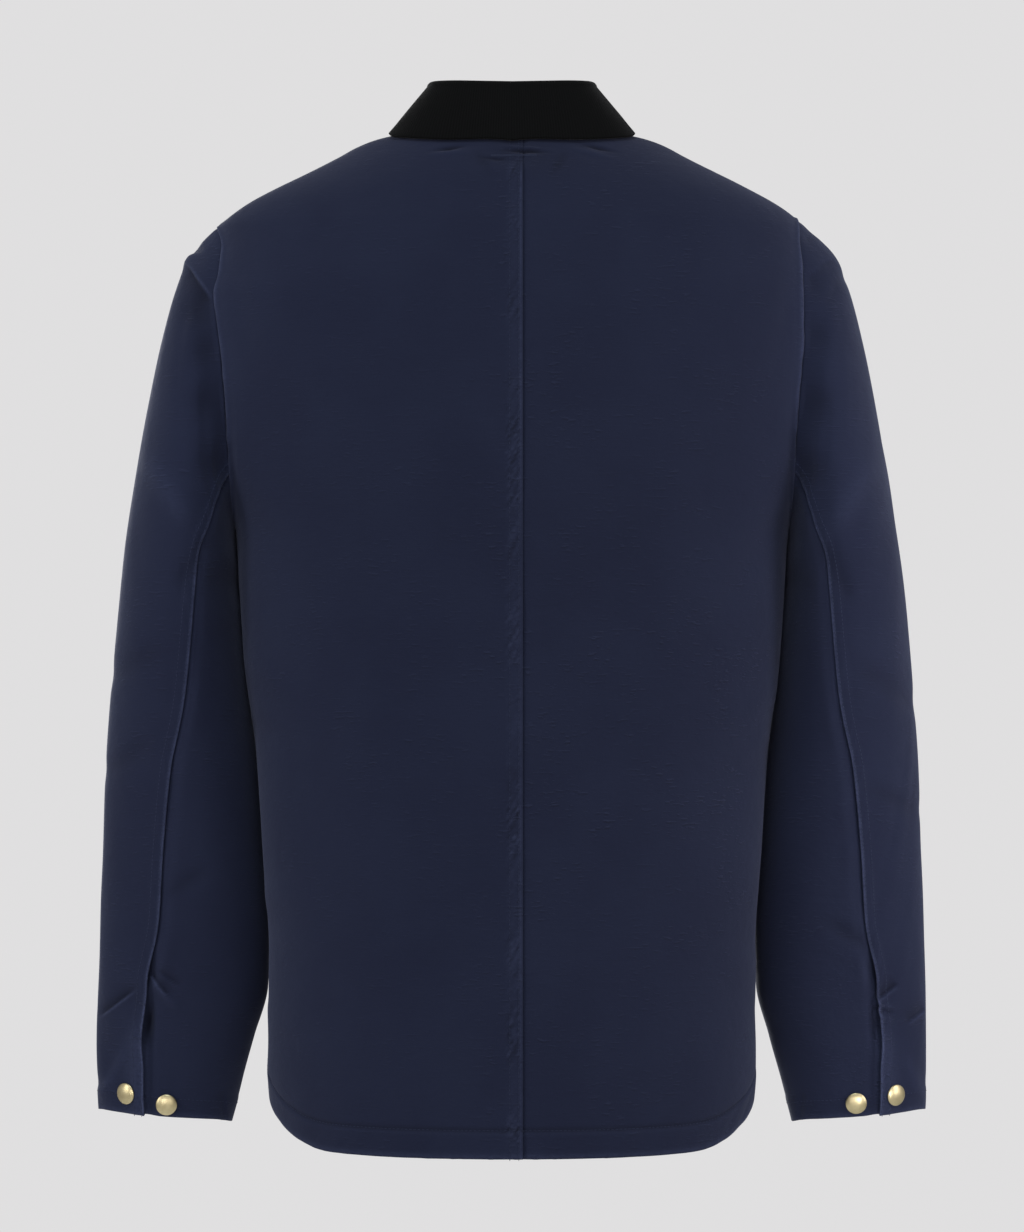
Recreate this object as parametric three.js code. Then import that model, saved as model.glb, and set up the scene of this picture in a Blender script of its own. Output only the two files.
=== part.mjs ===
import * as THREE from "three";

// Chore jacket filled out with no wearer, in millimetres: +Z up, the back towards +Y, the wearer's left at +X.
// The origin is the middle of the neck opening, level with the tops of the shoulders.

// Cloth
const WALL = 1.8;
const HEM_WALL = 2.8;
const SEAM_GAP = 0.3;
const REST_GAP = 0.3;

// Body: seams, laps and the edge at the bottom
const CENTRE_SEAM_X = -6.7;
const FELL_WIDTH = 10.4;
const FELL_RISE = 0.5;
const FRONT_LAP = 17;
const LAP_SINK = HEM_WALL + 0.5;
const LAP_EASE = 12;
const HEM_Z = -742;
const HEM_RISE = 36;
const HEM_RISE_FROM = 50;
const HEM_BEND = 1.2;
const HEM_BLEND_Z = -640;
const HEM_DEPTH = 19;

// Neck opening
const NECK_TOP = 3;
const NECK_HALF = 80;
const NECK_BACK_DROP = 8;
const NECK_FRONT_DROP = 88;
const NECK_BACK_BEND = 2.5;
const NECK_STEPS = 7;
const NECK_SPREAD = 1.3;

// Armhole, from the underarm to the shoulder tip
const UNDERARM_Z = -290;
const ARM_BACK = 68;
const ARM_FRONT = 71;

// Collar
const COLLAR_WALL = 2;
const COLLAR_LIFT = 2.7;
const ROLL = 4.5;
const COLLAR_END = 0.05;

// Snaps: a domed cap on its rim
const SNAP_RADIUS = 8;
const SNAP_RIM = 0.9;
const SNAP_DOME = 2.4;
const SNAP_SIDES = 14;
const SNAP_LIFT = 0.5;
const FRONT_SNAPS = 5;
const FRONT_SNAP_TOP = -112;
const FRONT_SNAP_PITCH = 132;

// Patch pockets, counted in the columns and levels of the front panel under them
const POCKET_WALL = 1.6;
const POCKET_TOP = -535;
const POCKET_BOTTOM = -690;
const POCKET_FROM_COLUMN = 2;
const POCKET_TO_COLUMN = 8;

const BODY_COLUMNS = 12;
const UPPER_COLUMNS = 12;
const UNDER_COLUMNS = 7;
const RINGS_A_SECTION = 1.5;
const CHECK_STEP = 0.01;

// Body sections from the neck to the bottom edge: half width, depth to the back and to the front of the side line,
// and how square the oval is. Between the shoulder tip and the underarm the armhole sets the half width.
const BODY = [
  { z: 3, half: 84, back: 50, front: 40, square: 1.9 },
  { z: 0.5, half: 98.5, back: 62, front: 47, square: 1.9 },
  { z: -4.5, half: 112.8, back: 71, front: 54, square: 1.92 },
  { z: -13.4, half: 129.4, back: 80, front: 62, square: 1.95 },
  { z: -25.4, half: 152.6, back: 89, front: 69, square: 2 },
  { z: -39.3, half: 180.6, back: 97.5, front: 76, square: 2.06 },
  { z: -49, half: 198.6, back: 102.5, front: 80, square: 2.1 },
  { z: -59, half: 212.2, back: 107, front: 84, square: 2.12 },
  { z: -65, half: 219.5, back: 109.5, front: 86, square: 2.15 },
  { z: -85, half: 222, back: 116, front: 93, square: 2.2 },
  { z: -101, half: 222, back: 121, front: 98, square: 2.25 },
  { z: -118, half: 222, back: 125, front: 103, square: 2.3 },
  { z: -143, half: 220, back: 129, front: 110, square: 2.3 },
  { z: -172, half: 216, back: 132, front: 117, square: 2.3 },
  { z: -200, half: 212, back: 133, front: 122, square: 2.3 },
  { z: -226, half: 210, back: 133, front: 126, square: 2.3 },
  { z: -250, half: 208, back: 132, front: 129, square: 2.3 },
  { z: -271, half: 207, back: 131, front: 131, square: 2.3 },
  { z: -283, half: 206.4, back: 130, front: 132, square: 2.3 },
  { z: -290, half: 206, back: 130, front: 133, square: 2.3 },
  { z: -298, half: 205, back: 129, front: 134, square: 2.3 },
  { z: -336, half: 203, back: 127, front: 135, square: 2.3 },
  { z: -394, half: 199, back: 125, front: 134, square: 2.3 },
  { z: -454, half: 191, back: 125, front: 132, square: 2.3 },
  { z: -535, half: 185.5, back: 128, front: 132, square: 2.3 },
  { z: -605, half: 181, back: 132, front: 134, square: 2.3 },
  { z: -690, half: 182, back: 137, front: 138, square: 2.3 },
  { z: -742, half: 176.5, back: 139, front: 139, square: 2.3 },
];

// Armhole seam from the shoulder tip down: its distance from the middle on each side.
const ARM_SEAM = {
  left: [
    { z: -65, x: 219.5 },
    { z: -83, x: 213.5 },
    { z: -100, x: 214.5 },
    { z: -118, x: 217.6 },
    { z: -143, x: 215 },
    { z: -160, x: 212.4 },
    { z: -200, x: 209 },
    { z: -250, x: 206.8 },
    { z: -290, x: 206 },
  ],
  right: [
    { z: -59, x: 212.2 },
    { z: -76, x: 211.5 },
    { z: -100, x: 212.5 },
    { z: -150, x: 212.5 },
    { z: -172, x: 211 },
    { z: -200, x: 208.5 },
    { z: -250, x: 206.5 },
    { z: -290, x: 206 },
  ],
};

// Sleeve sections from the armhole to the cuff: the inner and outer points of each oval, how far its middle lies
// behind the side line, its half depth, how square it is, and the angle of the back seam from the outer point.
const SLEEVE = [
  { inX: 206, inZ: -290, outX: 219.5, outZ: -65, midY: 0, deep: 70, square: 2, seam: 130 },
  { inX: 206.3, inZ: -293.5, outX: 231, outZ: -76, midY: 0, deep: 73, square: 2, seam: 130 },
  { inX: 206.1, inZ: -297, outX: 242.5, outZ: -90, midY: 0, deep: 76, square: 2, seam: 129.5 },
  { inX: 205.8, inZ: -302, outX: 252.5, outZ: -117, midY: 0, deep: 78, square: 2, seam: 127 },
  { inX: 205.4, inZ: -309, outX: 263, outZ: -158, midY: 0, deep: 79, square: 2, seam: 124 },
  { inX: 204.9, inZ: -318, outX: 273, outZ: -208, midY: 0, deep: 79, square: 2, seam: 119.3 },
  { inX: 204.6, inZ: -330, outX: 281.5, outZ: -258, midY: -2, deep: 78, square: 2, seam: 112.8 },
  { inX: 203.3, inZ: -346, outX: 288.7, outZ: -308, midY: -4, deep: 75, square: 2, seam: 110 },
  { inX: 201.3, inZ: -372, outX: 294.7, outZ: -360, midY: -7, deep: 71, square: 2.05, seam: 106.2 },
  { inX: 197.2, inZ: -418, outX: 300.2, outZ: -412, midY: -12, deep: 65, square: 2.1, seam: 99 },
  { inX: 190.7, inZ: -470, outX: 304.8, outZ: -467, midY: -18, deep: 59, square: 2.1, seam: 87.3 },
  { inX: 186.7, inZ: -530, outX: 307.6, outZ: -528, midY: -25, deep: 52, square: 2.15, seam: 81.2 },
  { inX: 183.0, inZ: -588, outX: 310.3, outZ: -584, midY: -32, deep: 46, square: 2.2, seam: 77.5 },
  { inX: 184.3, inZ: -633, outX: 312.2, outZ: -629, midY: -38, deep: 42, square: 2.2, seam: 70.5 },
  { inX: 194.7, inZ: -672, outX: 313.3, outZ: -664, midY: -42, deep: 38, square: 2.2, seam: 71 },
  { inX: 204, inZ: -705, outX: 313.6, outZ: -697, midY: -45, deep: 36, square: 2.2, seam: 75 },
  { inX: 211, inZ: -734, outX: 310.8, outZ: -726.5, midY: -47, deep: 34, square: 2.2, seam: 76 },
];
const SLEEVE_FRONT_SEAM = -125;
const ARM_WAVE_RINGS = 4;
const VENT_TOP = 13.3;
const VENT_EASE = 0.5;
const VENT_SINK = HEM_WALL + 1.1;
const VENT_TUCK = 15;

// Collar from the centre back (turn 0) to its front end (turn 1): the crest of the fold, and where its edge lies.
const COLLAR = [
  { turn: 0, foldX: 0, foldY: 58, foldZ: 35.6, edgeX: 0, edgeY: 79 },
  { turn: 0.14, foldX: 34, foldY: 56.5, foldZ: 36.4, edgeX: 42, edgeY: 77 },
  { turn: 0.3, foldX: 53, foldY: 45, foldZ: 37.6, edgeX: 75, edgeY: 64 },
  { turn: 0.42, foldX: 58.2, foldY: 20, foldZ: 39.2, edgeX: 89.5, edgeY: 42 },
  { turn: 0.54, foldX: 57, foldY: -10, foldZ: 37.6, edgeX: 89, edgeY: 4 },
  { turn: 0.68, foldX: 52, foldY: -38, foldZ: 20, edgeX: 88, edgeY: -42 },
  { turn: 0.84, foldX: 34, foldY: -60, foldZ: -22, edgeX: 76, edgeY: -82 },
  { turn: 1, foldX: 10, foldY: -70, foldZ: -60, edgeX: 50, edgeY: -104 },
];
const COLLAR_BELLY = 0.6;

// The largest folds of the body: place, lean from level, half length, half width and rise (below nought for a trough).
const BODY_FOLDS = [
  { x: 232, z: -100, lean: 60, long: 26, wide: 15, rise: 2 },
  { x: 190, z: -250, lean: 68, long: 60, wide: 20, rise: 2.2 },
  { x: -188, z: -262, lean: -66, long: 66, wide: 22, rise: 2.4 },
  { x: 150, z: -470, lean: 78, long: 110, wide: 26, rise: -1.6 },
  { x: -150, z: -500, lean: -80, long: 120, wide: 28, rise: -1.6 },
];
// The largest folds of the sleeves, placed by the angle from the outer point and by the section they cross.
const SLEEVE_FOLDS = {
  left: [
    { angle: 32, ring: 2.1, lean: 35, long: 1.6, wide: 0.45, rise: -3.4 },
    { angle: 8, ring: 1.7, lean: 10, long: 1.2, wide: 0.5, rise: 1.6 },
    { angle: 70, ring: 6.2, lean: -20, long: 2.4, wide: 0.8, rise: 2 },
    { angle: 30, ring: 13.6, lean: 30, long: 1.6, wide: 0.35, rise: -2.6 },
    { angle: 18, ring: 14.9, lean: 40, long: 1.8, wide: 0.5, rise: 1.8 },
  ],
  right: [
    { angle: 40, ring: 1.6, lean: 25, long: 1.2, wide: 0.5, rise: -2 },
    { angle: 66, ring: 6.6, lean: -24, long: 2.6, wide: 0.8, rise: 2.2 },
    { angle: 28, ring: 13.4, lean: 20, long: 1.5, wide: 0.4, rise: -2.2 },
  ],
};
const ANGLE_A_RING = 24;

const CLOTH = { color: 0x22263c, roughness: 0.9, metalness: 0 };
const COLLAR_CLOTH = { color: 0x131313, roughness: 0.95, metalness: 0 };
const BRASS = { color: 0xbeaf7d, roughness: 0.35, metalness: 1 };

const radians = (degrees) => (degrees * Math.PI) / 180;
const degrees = (angle) => (angle * 180) / Math.PI;
const clamp01 = (t) => Math.min(1, Math.max(0, t));
const ease = (t) => clamp01(t) ** 2 * (3 - 2 * clamp01(t));
const root = (value, power) => Math.max(0, value) ** (1 / power);
const signedPower = (value, power) => Math.sign(value) * Math.abs(value) ** power;

// One column of a table at a key between its rows, on a smooth curve that never overshoots them.
function along(rows, key, at, column) {
  const way = Math.sign(rows[rows.length - 1][key] - rows[0][key]);
  let i = 0;
  while (i < rows.length - 2 && way * (at - rows[i + 1][key]) > 0) i += 1;
  const step = (k) => rows[k + 1][key] - rows[k][key];
  const pitch = (k) => (rows[k + 1][column] - rows[k][column]) / step(k);
  const slope = (k) => {
    if (k === 0) return pitch(0);
    if (k === rows.length - 1) return pitch(k - 1);
    const before = pitch(k - 1);
    const after = pitch(k);
    return before * after <= 0 ? 0 : (2 * before * after) / (before + after);
  };
  const t = clamp01((at - rows[i][key]) / step(i));
  const ends = (2 * t ** 3 - 3 * t ** 2 + 1) * rows[i][column] + (3 * t ** 2 - 2 * t ** 3) * rows[i + 1][column];
  const bend = (t ** 3 - 2 * t ** 2 + t) * slope(i) + (t ** 3 - t ** 2) * slope(i + 1);
  return ends + bend * step(i);
}

const sideName = (side) => (side > 0 ? "left" : "right");
const facingName = (facing) => (facing > 0 ? "back" : "front");

// Rise of a soft fold at a place that is given from the fold's middle.
function foldRise({ lean, long, wide, rise }, across, up) {
  const c = Math.cos(radians(lean));
  const s = Math.sin(radians(lean));
  return rise * Math.exp(-(((across * c + up * s) / long) ** 2) - ((up * c - across * s) / wide) ** 2);
}

const bodyAt = (z, column) => along(BODY, "z", z, column);
const armTipZ = (side) => ARM_SEAM[sideName(side)][0].z;
const armX = (side, z) => along(ARM_SEAM[sideName(side)], "z", z, "x");

// Half depth of the armhole at a height, nought above the shoulder tip and below the underarm.
function armDepth(side, facing, z) {
  const middle = (armTipZ(side) + UNDERARM_Z) / 2;
  const reach = (armTipZ(side) - UNDERARM_Z) / 2;
  const round = Math.sqrt(Math.max(0, 1 - ((z - middle) / reach) ** 2));
  return (facing > 0 ? ARM_BACK : ARM_FRONT) * round;
}

// Half width of the body's section on one side and facing. In the armhole's stretch the oval runs through its seam.
function halfWidth(side, facing, z) {
  if (z >= armTipZ(side) || z <= UNDERARM_Z) return bodyAt(z, "half");
  const square = bodyAt(z, "square");
  const share = 1 - (armDepth(side, facing, z) / bodyAt(z, facingName(facing))) ** square;
  return armX(side, z) / root(share, square);
}

// The angle round a section, from the middle of the back or front, at a distance from the middle.
function angleAt(side, facing, z, out) {
  const share = Math.min(1, Math.abs(out) / halfWidth(side, facing, z));
  return Math.sign(out) * Math.asin(share ** (bodyAt(z, "square") / 2));
}

function bodyPoint(side, facing, angle, z) {
  const power = 2 / bodyAt(z, "square");
  return new THREE.Vector3(
    side * halfWidth(side, facing, z) * signedPower(Math.sin(angle), power),
    facing * bodyAt(z, facingName(facing)) * Math.max(0, Math.cos(angle)) ** power,
    z,
  );
}

function bodyNormal(side, facing, angle, z) {
  const low = Math.min(angle, Math.PI / 2 - CHECK_STEP);
  const round = bodyPoint(side, facing, low + CHECK_STEP, z).sub(bodyPoint(side, facing, low - CHECK_STEP, z));
  const rise = bodyPoint(side, facing, angle, z + CHECK_STEP).sub(bodyPoint(side, facing, angle, z - CHECK_STEP));
  const normal = round.cross(rise).normalize();
  return normal.multiplyScalar(-side * facing);
}

// Height of the body's form above a place in plan, found by halving.
function bodyHeight(x, y) {
  const side = x < 0 ? -1 : 1;
  const facing = y < 0 ? -1 : 1;
  let low = UNDERARM_Z;
  let high = NECK_TOP + 12;
  for (let i = 0; i < 40; i += 1) {
    const z = (low + high) / 2;
    const square = bodyAt(z, "square");
    const half = bodyAt(z, "half") - Math.max(0, z - NECK_TOP) * 8;
    const inside = (Math.abs(x) / half) ** square + (Math.abs(y) / bodyAt(z, facingName(facing))) ** square;
    if (inside < 1) low = z;
    else high = z;
  }
  return (low + high) / 2;
}

// Height at which cloth lies on the body's form with a clearance square to it.
function restHeight(x, y, clearance) {
  const here = bodyHeight(x, y);
  const slope = Math.hypot(bodyHeight(x + 1, y) - here, bodyHeight(x, y + 1) - here, 1);
  return here + clearance * slope;
}

const hemZ = (angle) => {
  const t = clamp01((degrees(Math.abs(angle)) - HEM_RISE_FROM) / (90 - HEM_RISE_FROM));
  return HEM_Z + HEM_RISE * t ** HEM_BEND;
};

// A level of the body where an angle crosses it: level cloth above, and below it rows that close up to the hem.
function levelZ(level, angle) {
  if (level >= HEM_BLEND_Z) return level;
  return HEM_BLEND_Z + ((level - HEM_BLEND_Z) * (hemZ(angle) - HEM_BLEND_Z)) / (HEM_Z - HEM_BLEND_Z);
}

// Neck seam from the middle (t 0) to the shoulder (t 1), and its distance from the middle at a height.
function neckEdge(facing, t) {
  const x = NECK_HALF * Math.sin((t * Math.PI) / 2);
  const drop = facing > 0 ? NECK_BACK_DROP * (1 - (x / NECK_HALF) ** NECK_BACK_BEND) : NECK_FRONT_DROP * Math.cos((t * Math.PI) / 2);
  return { x, z: NECK_TOP - drop };
}

function neckX(facing, z) {
  if (facing > 0) return NECK_HALF * root(1 - (NECK_TOP - z) / NECK_BACK_DROP, NECK_BACK_BEND);
  return NECK_HALF * root(1 - ((NECK_TOP - z) / NECK_FRONT_DROP) ** 2, 2);
}

const neckSteps = () => Array.from({ length: NECK_STEPS + 1 }, (_, k) => (k / NECK_STEPS) ** NECK_SPREAD);

// The levels of a panel: every section of the table, halved where they lie far apart, and every step of the neck seam.
function panelLevels(facing) {
  const neck = neckSteps().map((t) => neckEdge(facing, t).z);
  const levels = [...neck];
  BODY.forEach(({ z }, i) => {
    if (neck.every((n) => Math.abs(n - z) > 1.6)) levels.push(z);
    if (i && BODY[i - 1].z - z > 36) levels.push((BODY[i - 1].z + z) / 2);
  });
  return levels.sort((a, b) => b - a);
}

// A closed wall from a grid of cloth places, each with its outer point and the inner one behind it.
function wall(grid) {
  const rows = grid.length;
  const columns = grid[0].length;
  const count = rows * columns;
  const places = grid.flat();
  const positions = [...places.map(({ outer }) => outer), ...places.map(({ inner }) => inner)];
  const index = [];
  const quad = (a, b, c, d) => index.push(a, b, c, a, c, d);
  for (let i = 0; i < rows - 1; i += 1) {
    for (let j = 0; j < columns - 1; j += 1) {
      const a = i * columns + j;
      quad(a, a + 1, a + 1 + columns, a + columns);
      quad(count + a, count + a + columns, count + a + 1 + columns, count + a + 1);
    }
  }
  const edge = (a, b) => quad(a, count + a, count + b, b);
  for (let j = 0; j < columns - 1; j += 1) {
    edge(j, j + 1);
    edge((rows - 1) * columns + j + 1, (rows - 1) * columns + j);
  }
  for (let i = 0; i < rows - 1; i += 1) {
    edge((i + 1) * columns, i * columns);
    edge(i * columns + columns - 1, (i + 1) * columns + columns - 1);
  }
  const geometry = new THREE.BufferGeometry();
  geometry.setAttribute("position", new THREE.Float32BufferAttribute(positions.flatMap((p) => p.toArray()), 3));
  geometry.setIndex(volumeOf(positions, index) < 0 ? index.reverse() : index);
  geometry.computeVertexNormals();
  return geometry;
}

function volumeOf(positions, index) {
  let volume = 0;
  for (let i = 0; i < index.length; i += 3) {
    const [a, b, c] = [0, 1, 2].map((k) => positions[index[i + k]]);
    volume += a.dot(new THREE.Vector3().crossVectors(b, c));
  }
  return volume;
}

const jacket = new THREE.Group();

function add(name, geometry, look) {
  const mesh = new THREE.Mesh(geometry, new THREE.MeshStandardMaterial(look));
  mesh.name = name;
  jacket.add(mesh);
  return mesh;
}

// One half of the back or front: its grid of places from the middle edge out, level by level.
function panelGrid(side, facing) {
  const middle = facing > 0 ? side * CENTRE_SEAM_X + SEAM_GAP / 2 : -FRONT_LAP;
  return panelLevels(facing).map((level) => {
    const open = level > neckEdge(facing, 0).z ? neckX(facing, level) : 0;
    const start = angleAt(side, facing, level, open || middle);
    const deep = armDepth(side, facing, level) / bodyAt(level, facingName(facing));
    const end = Math.acos(deep ** (bodyAt(level, "square") / 2));
    return Array.from({ length: BODY_COLUMNS + 1 }, (_, j) => {
      const angle = start + ((end - start) * j) / BODY_COLUMNS;
      return bodyPlace(side, facing, angle, levelZ(level, angle), j === BODY_COLUMNS);
    });
  });
}

function bodyPlace(side, facing, angle, z, last) {
  const outer = bodyPoint(side, facing, angle, z);
  const normal = bodyNormal(side, facing, angle, z);
  const inArmhole = z < armTipZ(side) && z > UNDERARM_Z;
  if (last && inArmhole) outer.x -= side * SEAM_GAP;
  if (last && !inArmhole) outer.y += (facing * SEAM_GAP) / 2;
  let rise = 0;
  if (facing > 0) BODY_FOLDS.forEach((fold) => (rise += foldRise(fold, outer.x - fold.x, z - fold.z)));
  if (last) rise = 0;
  if (facing > 0 && side > 0 && outer.x < CENTRE_SEAM_X + FELL_WIDTH) rise += FELL_RISE;
  if (facing < 0 && side < 0) rise -= LAP_SINK * ease((outer.x + FRONT_LAP + LAP_EASE) / LAP_EASE);
  outer.addScaledVector(normal, rise);
  const hem = ease((hemZ(angle) + HEM_DEPTH - z) / 2);
  const inner = outer.clone().addScaledVector(normal, -WALL - (HEM_WALL - WALL) * hem);
  return { outer, inner };
}

// A point on a sleeve: the section it lies on and the angle from its outer point, towards the back where positive.
function sleevePoint(side, ring, angle) {
  const at = (column) => along(SLEEVE_ROWS, "ring", ring, column);
  const power = 2 / at("square");
  const out = signedPower(Math.cos(radians(angle)), power);
  const deep = signedPower(Math.sin(radians(angle)), power);
  const tip = { x: armX(side, armTipZ(side)), z: armTipZ(side) };
  const near = Math.max(0, 1 - ring / 2) ** 2;
  const outX = at("outX") + (tip.x - SLEEVE[0].outX) * near;
  const outZ = at("outZ") + (tip.z - SLEEVE[0].outZ) * near;
  const z = (at("inZ") + outZ) / 2 + ((outZ - at("inZ")) / 2) * out;
  const straight = (at("inX") + outX) / 2 + ((outX - at("inX")) / 2) * out;
  const firstZ = (UNDERARM_Z + tip.z) / 2 + ((tip.z - UNDERARM_Z) / 2) * out;
  const firstX = (SLEEVE[0].inX + tip.x) / 2 + ((tip.x - SLEEVE[0].inX) / 2) * out;
  const wave = (armX(side, firstZ) - firstX) * Math.max(0, 1 - ring / ARM_WAVE_RINGS) ** 2;
  const facing = deep > 0 ? 1 : -1;
  const seamDeep = (facing > 0 ? ARM_BACK : ARM_FRONT) - SLEEVE[0].deep;
  const half = at("deep") + seamDeep * Math.max(0, 1 - ring / ARM_WAVE_RINGS);
  return new THREE.Vector3(side * (straight + wave), at("midY") + half * deep, z);
}

const SLEEVE_ROWS = SLEEVE.map((row, ring) => ({ ...row, ring }));

function sleeveNormal(side, ring, angle) {
  const last = SLEEVE.length - 1;
  const from = Math.max(0, ring - CHECK_STEP);
  const to = Math.min(last, ring + CHECK_STEP);
  const down = sleevePoint(side, to, angle).sub(sleevePoint(side, from, angle));
  const round = sleevePoint(side, ring, angle + 1).sub(sleevePoint(side, ring, angle - 1));
  return round.cross(down).normalize().multiplyScalar(-side);
}

function sleevePlace(side, ring, angle, sink) {
  const outer = sleevePoint(side, ring, angle);
  const normal = sleeveNormal(side, ring, angle);
  const atSeam = ring === 0;
  if (atSeam) outer.x += side * SEAM_GAP * 1.3;
  if (atSeam && normal.x * side > 0) normal.setX(0).normalize();
  let rise = -sink;
  const free = ease(ring / 1.5);
  SLEEVE_FOLDS[sideName(side)].forEach((fold) => {
    rise += free * foldRise(fold, (angle - fold.angle) / ANGLE_A_RING, ring - fold.ring);
  });
  outer.addScaledVector(normal, rise);
  const cuff = ease((ring - (SLEEVE.length - 1.6)) / 0.1);
  const inner = outer.clone().addScaledVector(normal, -WALL - (HEM_WALL - WALL) * cuff);
  return { outer, inner };
}

function sleeveRings() {
  const count = Math.round((SLEEVE.length - 1) * RINGS_A_SECTION);
  return Array.from({ length: count + 1 }, (_, k) => k / RINGS_A_SECTION).map((r) => Math.min(r, SLEEVE.length - 1));
}

// Degrees round a sleeve that a length of cloth takes up at a section.
function spread(ring, length) {
  const at = (column) => along(SLEEVE_ROWS, "ring", ring, column);
  return degrees(length / Math.hypot(at("outX") - at("inX"), at("outZ") - at("inZ"), at("deep"))) * 1.6;
}

function sleeveGrid(side, piece) {
  return sleeveRings().map((ring) => {
    const seam = along(SLEEVE_ROWS, "ring", ring, "seam");
    const gap = spread(ring, SEAM_GAP);
    const open = ease((ring - VENT_TOP + 2 * VENT_EASE) / VENT_EASE);
    const tuck = spread(ring, VENT_TUCK) * ease((ring - VENT_TOP + VENT_EASE) / VENT_EASE);
    const upper = piece === "upper";
    const from = upper ? SLEEVE_FRONT_SEAM + gap : seam + gap - tuck;
    const to = upper ? seam - gap : SLEEVE_FRONT_SEAM + 360 - gap;
    const columns = upper ? UPPER_COLUMNS : UNDER_COLUMNS;
    return Array.from({ length: columns + 1 }, (_, j) => {
      const angle = from + ((to - from) * j) / columns;
      const nearSeam = clamp01(1 - (angle - seam) / spread(ring, VENT_TUCK));
      const sink = upper ? 0 : VENT_SINK * open * ease(nearSeam);
      return sleevePlace(side, ring, angle, sink);
    });
  });
}

// Collar: columns round the neck seam, each a profile from the seam up the stand, over the fold and down the fall.
function collarColumns(side) {
  const back = neckSteps().map((t) => ({ ...neckEdge(1, t), facing: 1, turn: 0.46 * t }));
  const front = neckSteps().map((t) => Math.max(t, COLLAR_END));
  const ahead = front.map((t) => ({ ...neckEdge(-1, t), facing: -1, turn: 1 - 0.46 * t })).reverse();
  const tip = { x: bodyAt(NECK_TOP, "half"), z: NECK_TOP, facing: 1, turn: 0.5 };
  return [...back, tip, ...ahead].map((place) => collarProfile(side, place));
}

function collarProfile(side, { x, z, facing, turn }) {
  const at = (column) => along(COLLAR, "turn", turn, column);
  const base = bodyPoint(side, facing, angleAt(side, facing, z, x), z);
  base.addScaledVector(new THREE.Vector3(-base.x, -base.y, 0).normalize(), COLLAR_WALL / 2);
  base.z += 2 * SEAM_GAP;
  const crest = new THREE.Vector3(side * at("foldX"), at("foldY"), at("foldZ"));
  const edge = new THREE.Vector3(side * at("edgeX"), at("edgeY"), 0);
  edge.z = restHeight(edge.x, edge.y, COLLAR_LIFT);
  const out = edge.clone().sub(crest).setZ(0).normalize();
  const roll = (turned) =>
    crest
      .clone()
      .addScaledVector(out, ROLL * Math.cos(radians(turned)))
      .add(new THREE.Vector3(0, 0, ROLL * (Math.sin(radians(turned)) - 1)));
  const points = [base, base.clone().lerp(roll(180), 0.5)];
  [180, 135, 90, 45, 0].forEach((turned) => points.push(roll(turned)));
  [0.25, 0.5, 0.75].forEach((t) => {
    const point = roll(0).lerp(edge, t).addScaledVector(out, COLLAR_BELLY * 4 * t * (1 - t));
    point.z = Math.max(point.z, restHeight(point.x, point.y, COLLAR_LIFT));
    points.push(point);
  });
  points.push(edge);
  return points;
}

function collarGrid() {
  const left = collarColumns(1).reverse();
  const right = collarColumns(-1).slice(1);
  const columns = [...left, ...right];
  return columns.map((column, i) =>
    column.map((point, j) => {
      const across = column[Math.min(j + 1, column.length - 1)].clone().sub(column[Math.max(j - 1, 0)]);
      const next = columns[Math.min(i + 1, columns.length - 1)][j];
      const before = columns[Math.max(i - 1, 0)][j];
      const normal = across.cross(next.clone().sub(before)).normalize();
      return {
        outer: point.clone().addScaledVector(normal, COLLAR_WALL / 2),
        inner: point.clone().addScaledVector(normal, -COLLAR_WALL / 2),
      };
    }),
  );
}

// A pocket lies on the front panel: the panel's own places, moved out.
function pocketGrid(side) {
  const levels = panelLevels(-1);
  const first = levels.indexOf(POCKET_TOP);
  const last = levels.indexOf(POCKET_BOTTOM);
  const places = panelGrid(side, -1).slice(first, last + 1);
  return places.map((row) =>
    row.slice(POCKET_FROM_COLUMN, POCKET_TO_COLUMN + 1).map(({ outer, inner }) => {
      const out = outer.clone().sub(inner).normalize();
      return {
        outer: outer.clone().addScaledVector(out, REST_GAP + POCKET_WALL),
        inner: outer.clone().addScaledVector(out, REST_GAP),
      };
    }),
  );
}

function snapGeometry() {
  const profile = [new THREE.Vector2(0, 0), new THREE.Vector2(SNAP_RADIUS * 0.94, 0)];
  profile.push(new THREE.Vector2(SNAP_RADIUS, SNAP_RIM * 0.4), new THREE.Vector2(SNAP_RADIUS, SNAP_RIM));
  [30, 60, 90].forEach((turned) => {
    const x = turned === 90 ? 0 : SNAP_RADIUS * Math.cos(radians(turned));
    profile.push(new THREE.Vector2(x, SNAP_RIM + SNAP_DOME * Math.sin(radians(turned))));
  });
  return new THREE.LatheGeometry(profile, SNAP_SIDES);
}

// Seats a snap on the cloth that a line along Y meets first.
function seatSnap(name, cloth, facing, x, z) {
  const ray = new THREE.Raycaster(new THREE.Vector3(x, facing * 500, z), new THREE.Vector3(0, -facing, 0));
  cloth.updateMatrixWorld(true);
  const hit = ray.intersectObject(cloth)[0];
  const snap = add(name, snapGeometry(), BRASS);
  snap.position.copy(hit.point).addScaledVector(hit.face.normal, SNAP_LIFT);
  snap.quaternion.setFromUnitVectors(new THREE.Vector3(0, 1, 0), hit.face.normal);
  return snap;
}

const cloth = {};
for (const side of [1, -1]) {
  for (const facing of [1, -1]) {
    const name = `${facingName(facing)}_${sideName(side)}`;
    cloth[name] = add(name, wall(panelGrid(side, facing)), CLOTH);
  }
  for (const piece of ["upper", "under"]) {
    const name = `sleeve_${sideName(side)}_${piece}`;
    cloth[name] = add(name, wall(sleeveGrid(side, piece)), CLOTH);
  }
  add(`pocket_${sideName(side)}`, wall(pocketGrid(side)), CLOTH);
}
add("collar", wall(collarGrid()), COLLAR_CLOTH);

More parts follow.
